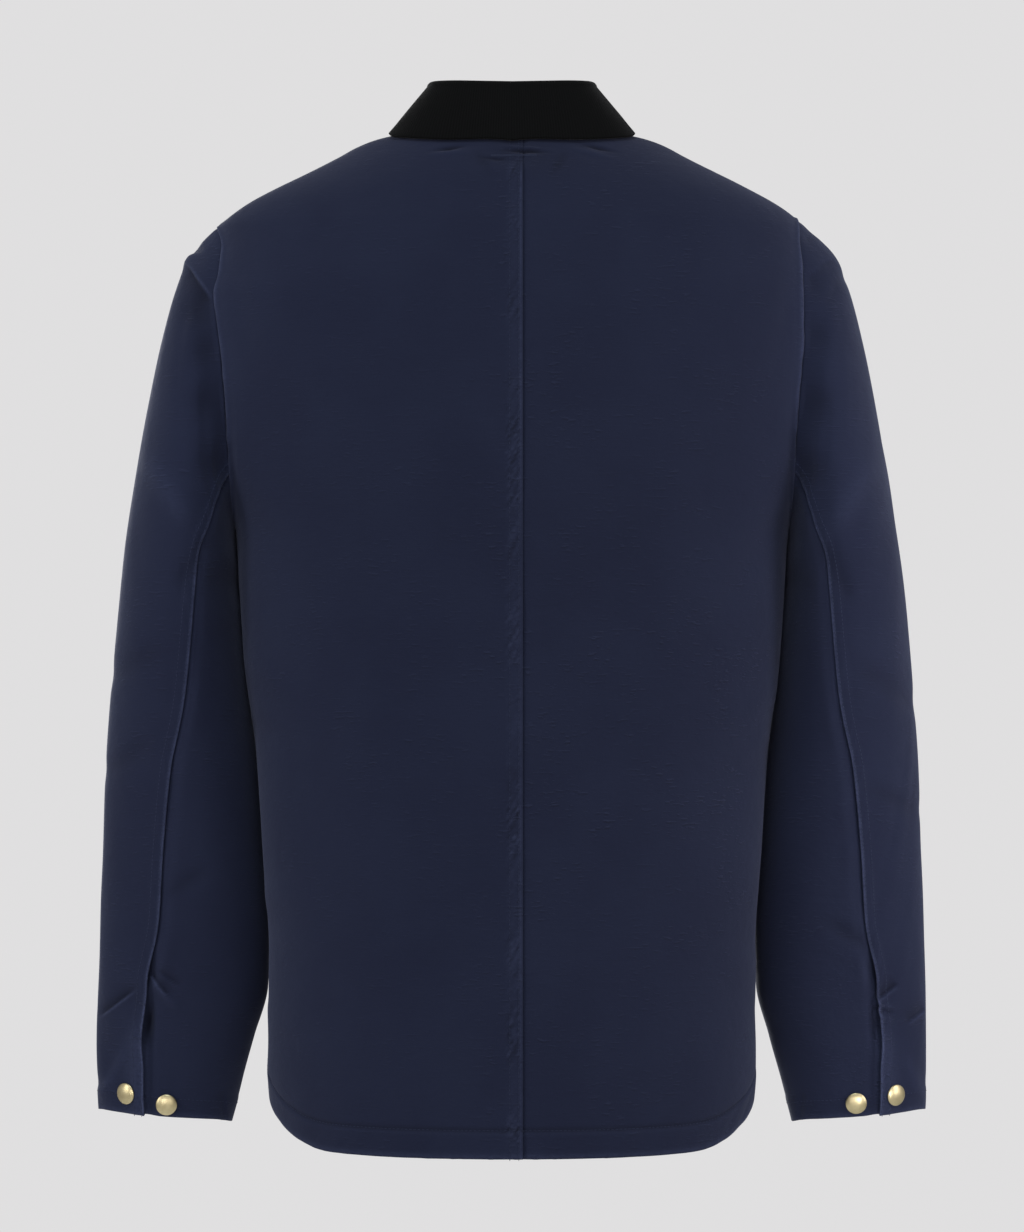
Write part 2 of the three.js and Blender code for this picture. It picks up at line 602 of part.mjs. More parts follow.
const CUFF_SNAPS = [
  { side: 1, piece: "upper", x: 289, z: -713 },
  { side: 1, piece: "under", x: 259, z: -721 },
  { side: -1, piece: "upper", x: -287, z: -714 },
  { side: -1, piece: "under", x: -258, z: -720 },
];
CUFF_SNAPS.forEach(({ side, piece, x, z }) => {
  seatSnap(`cuff_snap_${sideName(side)}_${piece}`, cloth[`sleeve_${sideName(side)}_${piece}`], 1, x, z);
});
for (let k = 0; k < FRONT_SNAPS; k += 1) {
  seatSnap(`front_snap_${k + 1}`, cloth.front_left, -1, 0.5, FRONT_SNAP_TOP - k * FRONT_SNAP_PITCH);
}

export default jacket;
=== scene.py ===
"""Chore jacket filled out with no wearer, seen from the back: cloth shells, stitching, snaps and finishes."""

import math

import bpy
import numpy as np
from mathutils import Matrix, Vector

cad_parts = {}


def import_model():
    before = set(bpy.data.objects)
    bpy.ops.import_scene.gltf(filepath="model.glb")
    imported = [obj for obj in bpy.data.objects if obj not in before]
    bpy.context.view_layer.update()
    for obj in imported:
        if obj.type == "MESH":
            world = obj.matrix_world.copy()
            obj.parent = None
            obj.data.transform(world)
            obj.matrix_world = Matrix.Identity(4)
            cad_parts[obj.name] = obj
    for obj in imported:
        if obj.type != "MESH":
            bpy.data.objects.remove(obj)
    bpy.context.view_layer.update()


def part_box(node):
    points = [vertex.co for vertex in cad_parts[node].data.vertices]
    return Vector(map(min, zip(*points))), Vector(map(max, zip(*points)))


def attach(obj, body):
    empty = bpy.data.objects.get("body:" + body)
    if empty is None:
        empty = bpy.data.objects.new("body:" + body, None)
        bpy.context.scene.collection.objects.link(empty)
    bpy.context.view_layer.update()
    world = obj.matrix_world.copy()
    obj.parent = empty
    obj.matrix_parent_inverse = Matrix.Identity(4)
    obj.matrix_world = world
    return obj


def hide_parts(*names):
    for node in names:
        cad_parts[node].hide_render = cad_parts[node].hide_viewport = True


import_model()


# Sizes are in millimetres until a mesh is made.
MM = 0.001
FINE = 1.0

# Cloth
WALL = 1.8
HEM_WALL = 2.8
SEAM_GAP = 0.3
REST_GAP = 0.3

# Body
CENTRE_SEAM_X = -6.7
FELL_WIDTH = 10.4
FELL_RISE = 0.7
FELL_TOP = -24
FELL_LAP = 1.1
FELL_WALL = 1.2
INNER_ROW = 1.8
OUTER_ROW = 8.2
TURNED_IN = 2.2
PLAIN_SLUB = 0.55
# Shares of the wear and painted highlights, slubs and painted shade that the inside of a wall keeps
INNER_MARK_SHARES = (0.3, 1.0, 0.0)
FRONT_LAP = 17
LAP_SINK = HEM_WALL + 0.5
LAP_EASE = 12
HEM_Z = -742
HEM_RISE = 36
HEM_RISE_FROM = 50
HEM_BEND = 1.2
HEM_SOFT = 0.16
HEM_BLEND_Z = -640
HEM_DEPTH = 19

# Neck opening
NECK_TOP = 3
NECK_HALF = 80
NECK_BACK_DROP = 8
NECK_FRONT_DROP = 88
NECK_BACK_BEND = 2.5

# Armhole
UNDERARM_Z = -290
ARM_BACK = 68
ARM_FRONT = 71

# Collar
COLLAR_WALL = 2.0
COLLAR_LIFT = 2.0
ROLL = 4.5
SIDE_ROLL = 3.0
COLLAR_END = 0.05
COLLAR_BELLY = 0.6
FALL_STOPS = (0, 0.25, 0.5, 0.75, 1)
STAND_ROWS = 13
FOLD_ROWS = 14
FALL_ROWS = 30

# Pockets
POCKET_WALL = 1.6
POCKET_TOP = -535
POCKET_BOTTOM = -690
POCKET_SHARES = (2 / 12, 8 / 12)
POCKET_HEM = 28.0
POCKET_ROWS = (2.5, 7.5)

# Sleeves
SLEEVE_FRONT_SEAM = -125
ARM_WAVE_RINGS = 4
VENT_TOP = 13.3
VENT_EASE = 0.5
VENT_SINK = HEM_WALL + 1.1
VENT_TUCK = 15
SEAM_TUCK = 3.0
UPPER_ROWS = (2.0, 7.8)
CUFF_ROW = 14.0
CORNER_DROP = 3.4
CORNER_OUT = 2.3
SLEEVE_GIRTH_RADIUS = 55


def table(columns, *rows):
    """A short table as one array for each named column."""
    names = columns.split()
    return {name: np.array([row[i] for row in rows], float) for i, name in enumerate(names)}


# Body sections: half width, depth to the back and to the front of the side line, and how square the oval is.
BODY = table(
    "z half back front square",
    (3, 84, 50, 40, 1.9),
    (0.5, 98.5, 62, 47, 1.9),
    (-4.5, 112.8, 71, 54, 1.92),
    (-13.4, 129.4, 80, 62, 1.95),
    (-25.4, 152.6, 89, 69, 2),
    (-39.3, 180.6, 97.5, 76, 2.06),
    (-49, 198.6, 102.5, 80, 2.1),
    (-59, 212.2, 107, 84, 2.12),
    (-65, 219.5, 109.5, 86, 2.15),
    (-85, 222, 116, 93, 2.2),
    (-101, 222, 121, 98, 2.25),
    (-118, 222, 125, 103, 2.3),
    (-143, 220, 129, 110, 2.3),
    (-172, 216, 132, 117, 2.3),
    (-200, 212, 133, 122, 2.3),
    (-226, 210, 133, 126, 2.3),
    (-250, 208, 132, 129, 2.3),
    (-271, 207, 131, 131, 2.3),
    (-283, 206.4, 130, 132, 2.3),
    (-290, 206, 130, 133, 2.3),
    (-298, 205, 129, 134, 2.3),
    (-336, 203, 127, 135, 2.3),
    (-394, 199, 125, 134, 2.3),
    (-454, 191, 125, 132, 2.3),
    (-535, 185.5, 128, 132, 2.3),
    (-605, 181, 132, 134, 2.3),
    (-690, 182, 137, 138, 2.3),
    (-742, 176.5, 139, 139, 2.3),
)

# Armhole seam from the shoulder tip down, on each side (1 is the wearer's left).
ARM_SEAM = {
    1: table(
        "z x",
        (-65, 219.5),
        (-83, 213.5),
        (-100, 214.5),
        (-118, 217.6),
        (-143, 215),
        (-160, 212.4),
        (-200, 209),
        (-250, 206.8),
        (-290, 206),
    ),
    -1: table(
        "z x",
        (-59, 212.2),
        (-76, 211.5),
        (-100, 212.5),
        (-150, 212.5),
        (-172, 211),
        (-200, 208.5),
        (-250, 206.5),
        (-290, 206),
    ),
}

# Sleeve sections from the armhole to the cuff, as ovals between an inner and an outer point.
SLEEVE = table(
    "ring inX inZ outX outZ midY deep square seam",
    (0, 206, -290, 219.5, -65, 0, 70, 2, 130),
    (1, 206.3, -293.5, 231, -76, 0, 73, 2, 130),
    (2, 206.1, -297, 242.5, -90, 0, 76, 2, 129.5),
    (3, 205.8, -302, 252.5, -117, 0, 78, 2, 127),
    (4, 205.4, -309, 263, -158, 0, 79, 2, 124),
    (5, 204.9, -318, 273, -208, 0, 79, 2, 119.3),
    (6, 204.6, -330, 281.5, -258, -2, 78, 2, 112.8),
    (7, 203.3, -346, 288.7, -308, -4, 75, 2, 110),
    (8, 201.3, -372, 294.7, -360, -7, 71, 2.05, 106.2),
    (9, 197.2, -418, 300.2, -412, -12, 65, 2.1, 99),
    (10, 190.7, -470, 304.8, -467, -18, 59, 2.1, 87.3),
    (11, 186.7, -530, 307.6, -528, -25, 52, 2.15, 81.2),
    (12, 183.0, -588, 310.3, -584, -32, 46, 2.2, 77.5),
    (13, 184.3, -633, 312.2, -629, -38, 42, 2.2, 70.5),
    (14, 194.7, -672, 313.3, -664, -42, 38, 2.2, 71),
    (15, 204, -705, 313.6, -697, -45, 36, 2.2, 75),
    (16, 211, -734, 310.8, -726.5, -47, 34, 2.2, 76),
)
LAST_RING = 16

# Collar from the centre back (turn 0) to its front end (turn 1).
COLLAR = table(
    "turn foldX foldY foldZ edgeX edgeY",
    (0, 0, 58, 35.6, 0, 79),
    (0.14, 34, 56.5, 36.4, 42, 72.5),
    (0.3, 54.5, 45, 37.6, 77, 54.5),
    (0.42, 59.6, 20, 39.2, 90.5, 34),
    (0.54, 58.4, -10, 37.6, 90, 4),
    (0.68, 52, -38, 20, 88, -42),
    (0.84, 34, -60, -22, 76, -82),
    (1, 10, -70, -60, 50, -104),
)

# Folds of the body: place, lean from level, half length, half width, and rise (below nought for a trough).
FOLD_COLUMNS = "x z lean long wide rise"
BACK_FOLDS = table(
    FOLD_COLUMNS,
    (232, -100, 60, 26, 15, 2),
    (190, -250, 68, 60, 20, 2.2),
    (-188, -262, -66, 66, 22, 2.4),
    (150, -470, 78, 110, 26, -1.6),
    (-150, -500, -80, 120, 28, -1.6),
    # Dimples under the collar
    (45.5, -14.5, -8, 9, 1.4, -1.8),
    (46, -18.5, -6, 13, 1.8, 0.9),
    (-10, -17.6, 2, 12, 1.5, -2.0),
    (-8, -15.0, 4, 18, 1.2, 0.8),
    (-63, -13.8, 12, 10, 1.4, -1.7),
    (-58, -18.0, 14, 15, 1.8, 0.9),
    (12, -23.5, 8, 8, 1.0, -1.3),
    (20, -27, 60, 9, 3, -0.7),
    (-34, -27, -62, 9, 3, -0.7),
    (0, -30, 0, 24, 5, 0.6),
    # Drags from the armholes and soft waves along the sides
    (196, -140, 76, 34, 9, -1.3),
    (-198, -150, -80, 40, 9, -1.2),
    (176, -300, 58, 44, 9, -1.2),
    (-172, -318, -60, 50, 10, -1.3),
    (178, -398, 34, 26, 10, 1.1),
    (180, -442, 22, 24, 10, -1.2),
    (172, -560, -20, 30, 12, 1),
    (-178, -420, -30, 28, 10, 1.1),
    (-176, -466, -18, 26, 11, -1.2),
    (-170, -610, 24, 30, 13, 1),
    (60, -230, 84, 90, 22, -0.7),
    (-74, -330, -82, 110, 24, -0.8),
    (84, -640, 74, 60, 18, 0.9),
    (-96, -660, -70, 60, 18, 0.9),
)
FRONT_FOLDS = table(
    FOLD_COLUMNS,
    (176, -150, -72, 44, 12, -1.6),
    (-174, -160, 70, 46, 12, -1.6),
    (170, -300, 60, 60, 16, 1.8),
    (-168, -310, -62, 62, 16, 1.8),
    (100, -400, 66, 80, 20, -1.3),
    (-96, -390, -64, 84, 20, -1.3),
    (60, -250, 40, 40, 12, 1),
    (-62, -262, -36, 42, 12, 1),
    (40, -470, 12, 36, 10, -0.9),
    (-42, -480, -14, 36, 10, -0.9),
    (150, -480, -40, 40, 12, 1.2),
    (-152, -490, 42, 40, 12, 1.2),
)

# Folds of the sleeves, placed by the angle from the outer point (as rings' lengths) and by ring.
ANGLE_A_RING = 24
SLEEVE_FOLD_COLUMNS = "angle ring lean long wide rise"
SLEEVE_FOLDS = {
    1: table(
        SLEEVE_FOLD_COLUMNS,
        (40, 2.6, 60, 1.6, 0.7, -1.6),
        (70, 6.2, -20, 2.4, 0.8, 2),
        (18, 14.9, 40, 1.8, 0.5, 0.8),
    ),
    -1: table(
        SLEEVE_FOLD_COLUMNS,
        (40, 2.0, 55, 1.2, 0.6, -1.2),
        (66, 6.6, -24, 2.6, 0.8, 2.2),
    ),
}
# Creases of the sleeves' back, from one place to another in the picture's plane: width and rise
CREASE_COLUMNS = "x0 z0 x1 z1 wide rise"
SLEEVE_CREASES = {
    1: table(
        CREASE_COLUMNS,
        (233, -82, 240, -83, 3, -1.6),
        (240, -86, 244, -92, 4, 1.0),
        (266, -630, 252, -646, 3, 0.9),
        (280, -672, 281, -724, 9, 2.2),
        (292, -684, 302, -706, 4, 1.0),
        (302, -706, 310, -715, 4, 0.8),
        (217, -733, 218, -716, 1.6, -1.0),
        (250, -560, 232, -548, 6, -1.0),
        (300, -470, 272, -452, 7, -1.1),
        (296, -400, 266, -384, 8, -1.0),
        (222, -300, 240, -330, 6, -1.3),
        (262, -246, 240, -280, 8, 1.2),
    ),
    -1: table(
        CREASE_COLUMNS,
        (246, -104, 232, -124, 5, -1.0),
        (274, -645, 284, -648, 1.8, 0.9),
        (274, -649, 283, -651, 1.6, -0.9),
        (275, -655, 283, -657, 1.8, 0.7),
        (278, -676, 280, -724, 9, 2.0),
        (296, -690, 306, -712, 5, 1.0),
        (217, -733, 218, -716, 1.6, -0.9),
        (262, -600, 238, -586, 6, -1.2),
        (300, -500, 270, -486, 7, -1.2),
        (296, -420, 262, -398, 8, -1.1),
        (226, -306, 244, -338, 7, -1.3),
        (258, -250, 238, -286, 8, 1.2),
    ),
}


# Tucks, where the cloth on one side of a line steps down and comes back within a reach.
TUCK_COLUMNS = "x0 z0 x1 z1 reach depth"
SLEEVE_TUCKS = {
    1: table(
        TUCK_COLUMNS,
        (243, -92, 220, -124, 10, 1.7),
        (281, -633.5, 310, -656, 3.5, 1.6),
        (256, -639, 270.5, -622.5, 3, 1.5),
        (248, -631, 263, -620.5, 3, 1.1),
    ),
    -1: table(
        TUCK_COLUMNS,
        (228, -100, 217, -105, 5, 0.6),
        (238, -90, 227, -96, 5, 0.6),
        (274, -641, 287, -632, 5, 1.2),
        (297, -660, 310, -652, 5, 1.3),
    ),
}
# Hollows: place, radius and depth
HOLLOW_COLUMNS = "x z reach depth"
SLEEVE_HOLLOWS = {
    1: table(
        HOLLOW_COLUMNS,
        (229, -132, 13, 4.4),
        (223, -160, 13, 3.2),
        (220, -200, 13, 2.6),
        (217, -245, 12, 2.2),
        (212, -330, 12, 1.2),
        (282, -640, 7, 0.8),
    ),
    -1: table(
        HOLLOW_COLUMNS,
        (218, -74, 6, 1.8),
        (221, -112, 9, 1.6),
        (222, -150, 12, 2.2),
        (220, -200, 13, 2.8),
        (217, -250, 12, 2.4),
        (212, -332, 12, 1.2),
        (281, -634, 6, 1.0),
    ),
}


def ease(t):
    t = np.clip(t, 0, 1)
    return t * t * (3 - 2 * t)


def signed_power(value, power):
    return np.sign(value) * np.abs(value) ** power


def root(value, power):
    return np.maximum(value, 0) ** (1 / power)


def bell(value, width):
    return np.exp(-((value / width) ** 2))


def along(rows, key, at, column):
    """One column of a table at keys between its rows, on a smooth curve that never overshoots them."""
    keys = rows[key]
    values = rows[column]
    at = np.asarray(at, float)
    step = np.diff(keys)
    way = np.sign(step[0])
    pitch = np.diff(values) / step
    before = pitch[:-1]
    after = pitch[1:]
    same = before * after > 0
    total = np.where(same, before + after, 1)
    slope = np.concatenate([pitch[:1], np.where(same, 2 * before * after / total, 0), pitch[-1:]])
    i = np.clip(np.searchsorted(keys * way, at * way, side="right") - 1, 0, len(keys) - 2)
    t = np.clip((at - keys[i]) / step[i], 0, 1)
    ends = (2 * t**3 - 3 * t**2 + 1) * values[i] + (3 * t**2 - 2 * t**3) * values[i + 1]
    bend = (t**3 - 2 * t**2 + t) * slope[i] + (t**3 - t**2) * slope[i + 1]
    return ends + bend * step[i]


def ripple(at, pitch, seed):
    """Smooth uneven waves between -1 and 1, a knot each pitch."""
    knots = np.random.RandomState(seed).uniform(-1, 1, 512)
    place = np.asarray(at, float) / pitch
    first = np.floor(place).astype(int)
    t = ease(place - first)
    return knots[first % 512] * (1 - t) + knots[(first + 1) % 512] * t


def folds_rise(folds, across, up, stretch=1.0):
    """Sum of the soft folds of a table at places across and up the cloth."""
    total = np.zeros(np.broadcast(across, up).shape)
    for x0, z0, lean, long, wide, rise in zip(*folds.values()):
        c = math.cos(math.radians(lean))
        s = math.sin(math.radians(lean))
        dx = (across - x0) / stretch
        dz = up - z0
        total += rise * bell(dx * c + dz * s, long) * bell(dz * c - dx * s, wide)
    return total


def line_places(x, z, x0, z0, x1, z1):
    """How far places lie along a line from its start and to its side, and the line's length."""
    wide = x1 - x0
    high = z1 - z0
    length = math.hypot(wide, high)
    return ((x - x0) * wide + (z - z0) * high) / length, ((x - x0) * high - (z - z0) * wide) / length, length


def creases_rise(creases, x, z):
    """Sum of creases that run from place to place and fade at both ends."""
    total = np.zeros(x.shape)
    for *line, wide, rise in zip(*creases.values()):
        along_it, beside, length = line_places(x, z, *line)
        past = np.maximum(0, np.abs(along_it - length / 2) - length * 0.35)
        total += rise * bell(beside, wide) * bell(past, wide + length * 0.15)
    return total


def tucks_rise(tucks, x, z):
    """Sum of tucks, each with a thin lip beside its step."""
    total = np.zeros(x.shape)
    for *line, reach, depth in zip(*tucks.values()):
        along_it, beside, length = line_places(x, z, *line)
        ends = ease((along_it + 3) / (length * 0.4)) * ease((length + 3 - along_it) / (length * 0.3))
        step = ease((0.8 - beside) / 1.6) * np.exp(np.minimum(0, beside + 0.8) / reach)
        total += ends * (0.3 * depth * bell(beside - 1.2, 1.1) - depth * step)
    return total


def hollows_rise(hollows, x, z):
    total = np.zeros(x.shape)
    for x0, z0, reach, depth in zip(*hollows.values()):
        total -= depth * bell(np.hypot(x - x0, z - z0), reach)
    return total


# Body form


def body_at(z, column):
    return along(BODY, "z", z, column)


def facing_name(facing):
    return "back" if facing > 0 else "front"


def side_name(side):
    return "left" if side > 0 else "right"


def arm_tip_z(side):
    return ARM_SEAM[side]["z"][0]


def arm_depth(side, facing, z):
    """Half depth of the armhole at a height, nought above the shoulder tip and below the underarm."""
    middle = (arm_tip_z(side) + UNDERARM_Z) / 2
    reach = (arm_tip_z(side) - UNDERARM_Z) / 2
    return (ARM_BACK if facing > 0 else ARM_FRONT) * np.sqrt(np.maximum(0, 1 - ((z - middle) / reach) ** 2))


def half_width(side, facing, z):
    square = body_at(z, "square")
    share = 1 - (arm_depth(side, facing, z) / body_at(z, facing_name(facing))) ** square
    inside = (z < arm_tip_z(side)) & (z > UNDERARM_Z)
    return np.where(inside, along(ARM_SEAM[side], "z", z, "x") / root(share, square), body_at(z, "half"))


def angle_at(side, facing, z, out):
    share = np.minimum(1, np.abs(out) / half_width(side, facing, z))
    return np.sign(out) * np.arcsin(share ** (body_at(z, "square") / 2))


def body_point(side, facing, angle, z):
    power = 2 / body_at(z, "square")
    x = side * half_width(side, facing, z) * signed_power(np.sin(angle), power)
    y = facing * body_at(z, facing_name(facing)) * np.maximum(0, np.cos(angle)) ** power
    return np.stack(np.broadcast_arrays(x, y, z), axis=-1)


def body_height(x, y):
    """Height of the body's form above places in plan, by halving."""
    low = np.full(x.shape, float(UNDERARM_Z))
    high = np.full(x.shape, NECK_TOP + 12.0)
    for _ in range(34):
        z = (low + high) / 2
        square = body_at(z, "square")
        half = body_at(z, "half") - np.maximum(0, z - NECK_TOP) * 8
        deep = np.where(y < 0, body_at(z, "front"), body_at(z, "back"))
        inside = (np.abs(x) / half) ** square + (np.abs(y) / deep) ** square < 1
        low = np.where(inside, z, low)
        high = np.where(inside, high, z)
    return (low + high) / 2


def rest_height(x, y, clearance):
    here = body_height(x, y)
    slope = np.sqrt((body_height(x + 1, y) - here) ** 2 + (body_height(x, y + 1) - here) ** 2 + 1)
    return here + clearance * slope


def hem_z(angle):
    t = (np.degrees(np.abs(angle)) - HEM_RISE_FROM) / (90 - HEM_RISE_FROM)
    return HEM_Z + HEM_RISE * ((t + np.sqrt(t**2 + HEM_SOFT**2)) / 2) ** HEM_BEND


def neck_edge(facing, t):
    x = NECK_HALF * np.sin(t * math.pi / 2)
    if facing > 0:
        return x, NECK_TOP - NECK_BACK_DROP * (1 - (x / NECK_HALF) ** NECK_BACK_BEND)
    return x, NECK_TOP - NECK_FRONT_DROP * np.cos(t * math.pi / 2)


def neck_x(facing, z):
    if facing > 0:
        return NECK_HALF * root(1 - (NECK_TOP - z) / NECK_BACK_DROP, NECK_BACK_BEND)
    return NECK_HALF * root(1 - ((NECK_TOP - z) / NECK_FRONT_DROP) ** 2, 2)


# Meshes


def fine(count):
    return int(count * FINE)


def spaced(*stops):
    """Places along a line whose spacing changes: each stop is an end and the spacing up to it."""
    places = [stops[0][0]]
    for end, spacing in stops[1:]:
        count = max(1, int(round(abs(end - places[-1]) / spacing * FINE)))
        places.extend(np.linspace(places[-1], end, count + 1)[1:])
    return np.array(places, float)


def grid_cross(points):
    """Unit normals of a grid of points, to the side that its rows and columns give."""
    normal = np.cross(np.gradient(points, axis=1), np.gradient(points, axis=0))
    return normal / np.maximum(np.linalg.norm(normal, axis=-1, keepdims=True), 1e-9)


def grid_normals(points, outward):
    """Unit normals of a grid of points, turned to the side of a rough outward direction."""
    normal = grid_cross(points)
    return normal * np.where(np.sum(normal * outward, axis=-1, keepdims=True) < 0, -1, 1)


def lengths(points, axis):
    """Distance along the rows or columns of a grid, from its first point."""
    step = np.linalg.norm(np.diff(points, axis=axis), axis=-1)
    pad = [(0, 0), (0, 0)]
    pad[axis] = (1, 0)
    return np.cumsum(np.pad(step, pad), axis=axis)


def soften(points, passes, keep):
    """Evens a grid along its columns, except where keep is one."""
    for _ in range(passes):
        even = points.copy()
        even[1:-1] = (points[:-2] + 2 * points[1:-1] + points[2:]) / 4
        points = points * keep[..., None] + even * (1 - keep[..., None])
    return points


def add_piece(name, mesh, node=None):
    """A finished mesh as a piece of the jacket, in place of a solid if it has one."""
    piece = bpy.data.objects.new(name, mesh)
    bpy.context.scene.collection.objects.link(piece)
    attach(piece, "root")
    if node:
        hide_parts(node)
    return piece


def shell(node, outer, inner, flat, wear_and_highlight, slub, shade, slot="canvas"):
    """A closed cloth wall between two grids, with a rounded edge all round, a flat map, and its wear with
    painted highlights, slubs and painted shade.
    """
    rows, columns = outer.shape[:2]
    count = rows * columns
    number = np.arange(count).reshape(rows, columns)
    loop = np.concatenate([number[0, :-1], number[:-1, -1], number[-1, :0:-1], number[:0:-1, 0]])
    into = np.concatenate([number[1, :-1], number[:-1, -2], number[-2, :0:-1], number[:0:-1, 1]])
    face = outer.reshape(-1, 3)
    back = inner.reshape(-1, 3)
    away = face[loop] - face[into]
    away /= np.maximum(np.linalg.norm(away, axis=1, keepdims=True), 1e-9)
    thick = np.linalg.norm(face[loop] - back[loop], axis=1, keepdims=True)
    rim = (face[loop] + back[loop]) / 2 + away * np.minimum(thick * 0.35, SEAM_GAP * 0.4)
    verts = np.concatenate([face, back, rim]) * MM
    cells = np.stack([number[:-1, :-1], number[:-1, 1:], number[1:, 1:], number[1:, :-1]], -1).reshape(-1, 4)
    there = np.roll(loop, -1)
    on_rim = np.arange(len(loop)) + 2 * count
    rim_there = np.roll(on_rim, -1)
    outer_rim = np.stack([there, loop, on_rim, rim_there], 1)
    inner_rim = np.stack([rim_there, on_rim, loop + count, there + count], 1)
    faces = np.concatenate([cells, cells[:, ::-1] + count, outer_rim, inner_rim])
    normal = np.cross(verts[faces[0, 1]] - verts[faces[0, 0]], verts[faces[0, 2]] - verts[faces[0, 0]])
    if np.dot(normal, face[0] - back[0]) < 0:
        faces = faces[:, ::-1]
    maps = flat.reshape(-1, 2)
    marks_and_painted_light = np.stack(np.broadcast_arrays(wear_and_highlight, slub, shade, outer[..., 0])[:3], -1)
    marks_and_painted_light = np.clip(marks_and_painted_light, 0, 1).reshape(-1, 3)
    mesh = cloth_mesh(
        f"{node}_cloth",
        verts,
        faces,
        np.concatenate([maps, maps, maps[loop]]) * MM,
        np.concatenate([marks_and_painted_light, marks_and_painted_light * INNER_MARK_SHARES, marks_and_painted_light[loop]]),
    )
    mesh.materials.append(MATERIALS[slot])
    return add_piece(f"{node}_cloth", mesh, node)


def cloth_mesh(name, verts, faces, maps, marks_and_painted_light):
    """A smooth mesh of four-sided faces with its flat map, its wear with painted highlights, its slubs and
    its painted shade.
    """
    mesh = bpy.data.meshes.new(name)
    mesh.vertices.add(len(verts))
    mesh.vertices.foreach_set("co", verts.astype(np.float32).ravel())
    mesh.loops.add(faces.size)
    mesh.loops.foreach_set("vertex_index", faces.astype(np.int32).ravel())
    mesh.polygons.add(len(faces))
    mesh.polygons.foreach_set("loop_start", np.arange(0, faces.size, 4, dtype=np.int32))
    mesh.polygons.foreach_set("loop_total", np.full(len(faces), 4, dtype=np.int32))
    mesh.polygons.foreach_set("use_smooth", np.ones(len(faces), bool))
    layer = mesh.uv_layers.new(name="Cloth")
    layer.data.foreach_set("uv", maps[faces.ravel()].astype(np.float32).ravel())
    for column, title in enumerate(("wear_and_highlight", "slub", "shade")):
        attribute = mesh.attributes.new(title, "FLOAT", "POINT")
        attribute.data.foreach_set("value", np.ascontiguousarray(marks_and_painted_light[:, column], np.float32))
    mesh.update(calc_edges=True)
    mesh.validate()
    return mesh


# Shader maths


def feed(slot, value):
    """Links a value to a socket, or sets the socket to a plain number or colour."""
    if isinstance(value, Value):
        value.tree.links.new(value.socket, slot)
    else:
        slot.default_value = value


def add_node(tree, kind, settings=None, output=0, **sockets):
    """One output of a new node, whose inputs are named with an underscore for each space."""
    node = tree.nodes.new(kind)
    for key, value in (settings or {}).items():
        setattr(node, key, value)
    for key, value in sockets.items():
        feed(node.inputs[key.replace("_", " ")], value)
    return Value(tree, node.outputs[output])


class Value:
    """A socket that takes part in sums."""

    def __init__(self, tree, socket):
        self.tree = tree
        self.socket = socket

    def math(self, operation, *others):
        node = self.tree.nodes.new("ShaderNodeMath")
        node.operation = operation
        for slot, other in zip(node.inputs, (self, *others)):
            feed(slot, other)
        return Value(self.tree, node.outputs[0])

    def __add__(self, other):
        return self.math("ADD", other)

    __radd__ = __add__

    def __sub__(self, other):
        return self.math("SUBTRACT", other)

    def __rsub__(self, other):
        return (self * -1) + other

    def __mul__(self, other):
        return self.math("MULTIPLY", other)

    __rmul__ = __mul__

    def __truediv__(self, other):
        return self.math("DIVIDE", other)

    def __pow__(self, other):
        return self.math("POWER", other)

    def sine(self):
        return self.math("SINE")

    def between(self, low, high):
        limits = {"From_Min": low, "From_Max": high}
        smooth = {"interpolation_type": "SMOOTHSTEP"}
        return add_node(self.tree, "ShaderNodeMapRange", smooth, "Result", Value=self, **limits)


class Finish:
    """A material whose nodes are written as expressions."""

    def __init__(self, name):
        self.material = bpy.data.materials.new(name)
        self.material.use_nodes = True
        self.tree = self.material.node_tree

    def node(self, kind, settings=None, output=0, **sockets):
        return add_node(self.tree, kind, settings, output, **sockets)

    def set(self, **sockets):
        for key, value in sockets.items():
            feed(self.tree.nodes["Principled BSDF"].inputs[key.replace("_", " ")], value)

    def flat_map(self):
        """The cloth's own places across and up, in millimetres."""
        place = self.node("ShaderNodeUVMap", {"uv_map": "Cloth"})
        return [self.node("ShaderNodeSeparateXYZ", output=axis, Vector=place) * 1000 for axis in "XY"]

    def object_place(self):
        return self.node("ShaderNodeTexCoord", output="Object")

    def attribute(self, name):
        return self.node("ShaderNodeAttribute", {"attribute_name": name}, "Fac")

    def noise(self, place, scale=1.0, detail=2.0, rough=0.5):
        return self.node("ShaderNodeTexNoise", Vector=place, Scale=scale, Detail=detail, Roughness=rough)

    def grain(self, x, y, z=0.0, detail=2.0, rough=0.5):
        """Noise at places that are scaled on their own in each direction."""
        return self.noise(self.node("ShaderNodeCombineXYZ", X=x, Y=y, Z=z), 1.0, detail, rough)

    def mix(self, share, low, high):
        node = self.tree.nodes.new("ShaderNodeMix")
        node.data_type = "RGBA"
        for slot, value in ((0, share), (6, low), (7, high)):
            feed(node.inputs[slot], (*value, 1) if isinstance(value, tuple) else value)
        return Value(self.tree, node.outputs[2])

    def relief(self, height):
        """Bump from a height in millimetres."""
        return self.node("ShaderNodeBump", output="Normal", Height=height, Strength=1.0, Distance=MM)


NAVY_DEEP = (0.0073, 0.0099, 0.0268)
NAVY = (0.0106, 0.0144, 0.0348)
# Paler navy for worn places and painted highlights; NAVY_SHADE is the colour of painted shade
NAVY_WORN_AND_LIT = (0.0330, 0.0410, 0.0850)
NAVY_SHADE = (0.0026, 0.0034, 0.0095)
THREAD_NAVY = (0.0220, 0.0290, 0.0640)
BLACK_PILE = (0.0019, 0.0019, 0.0020)
BLACK_RIDGE_HIGHLIGHT = (0.0036, 0.0036, 0.0038)
PALE_BRASS = (0.60, 0.515, 0.305)
DULL_BRASS = (0.45, 0.375, 0.205)
YARN = 0.62
WALE = 1.7


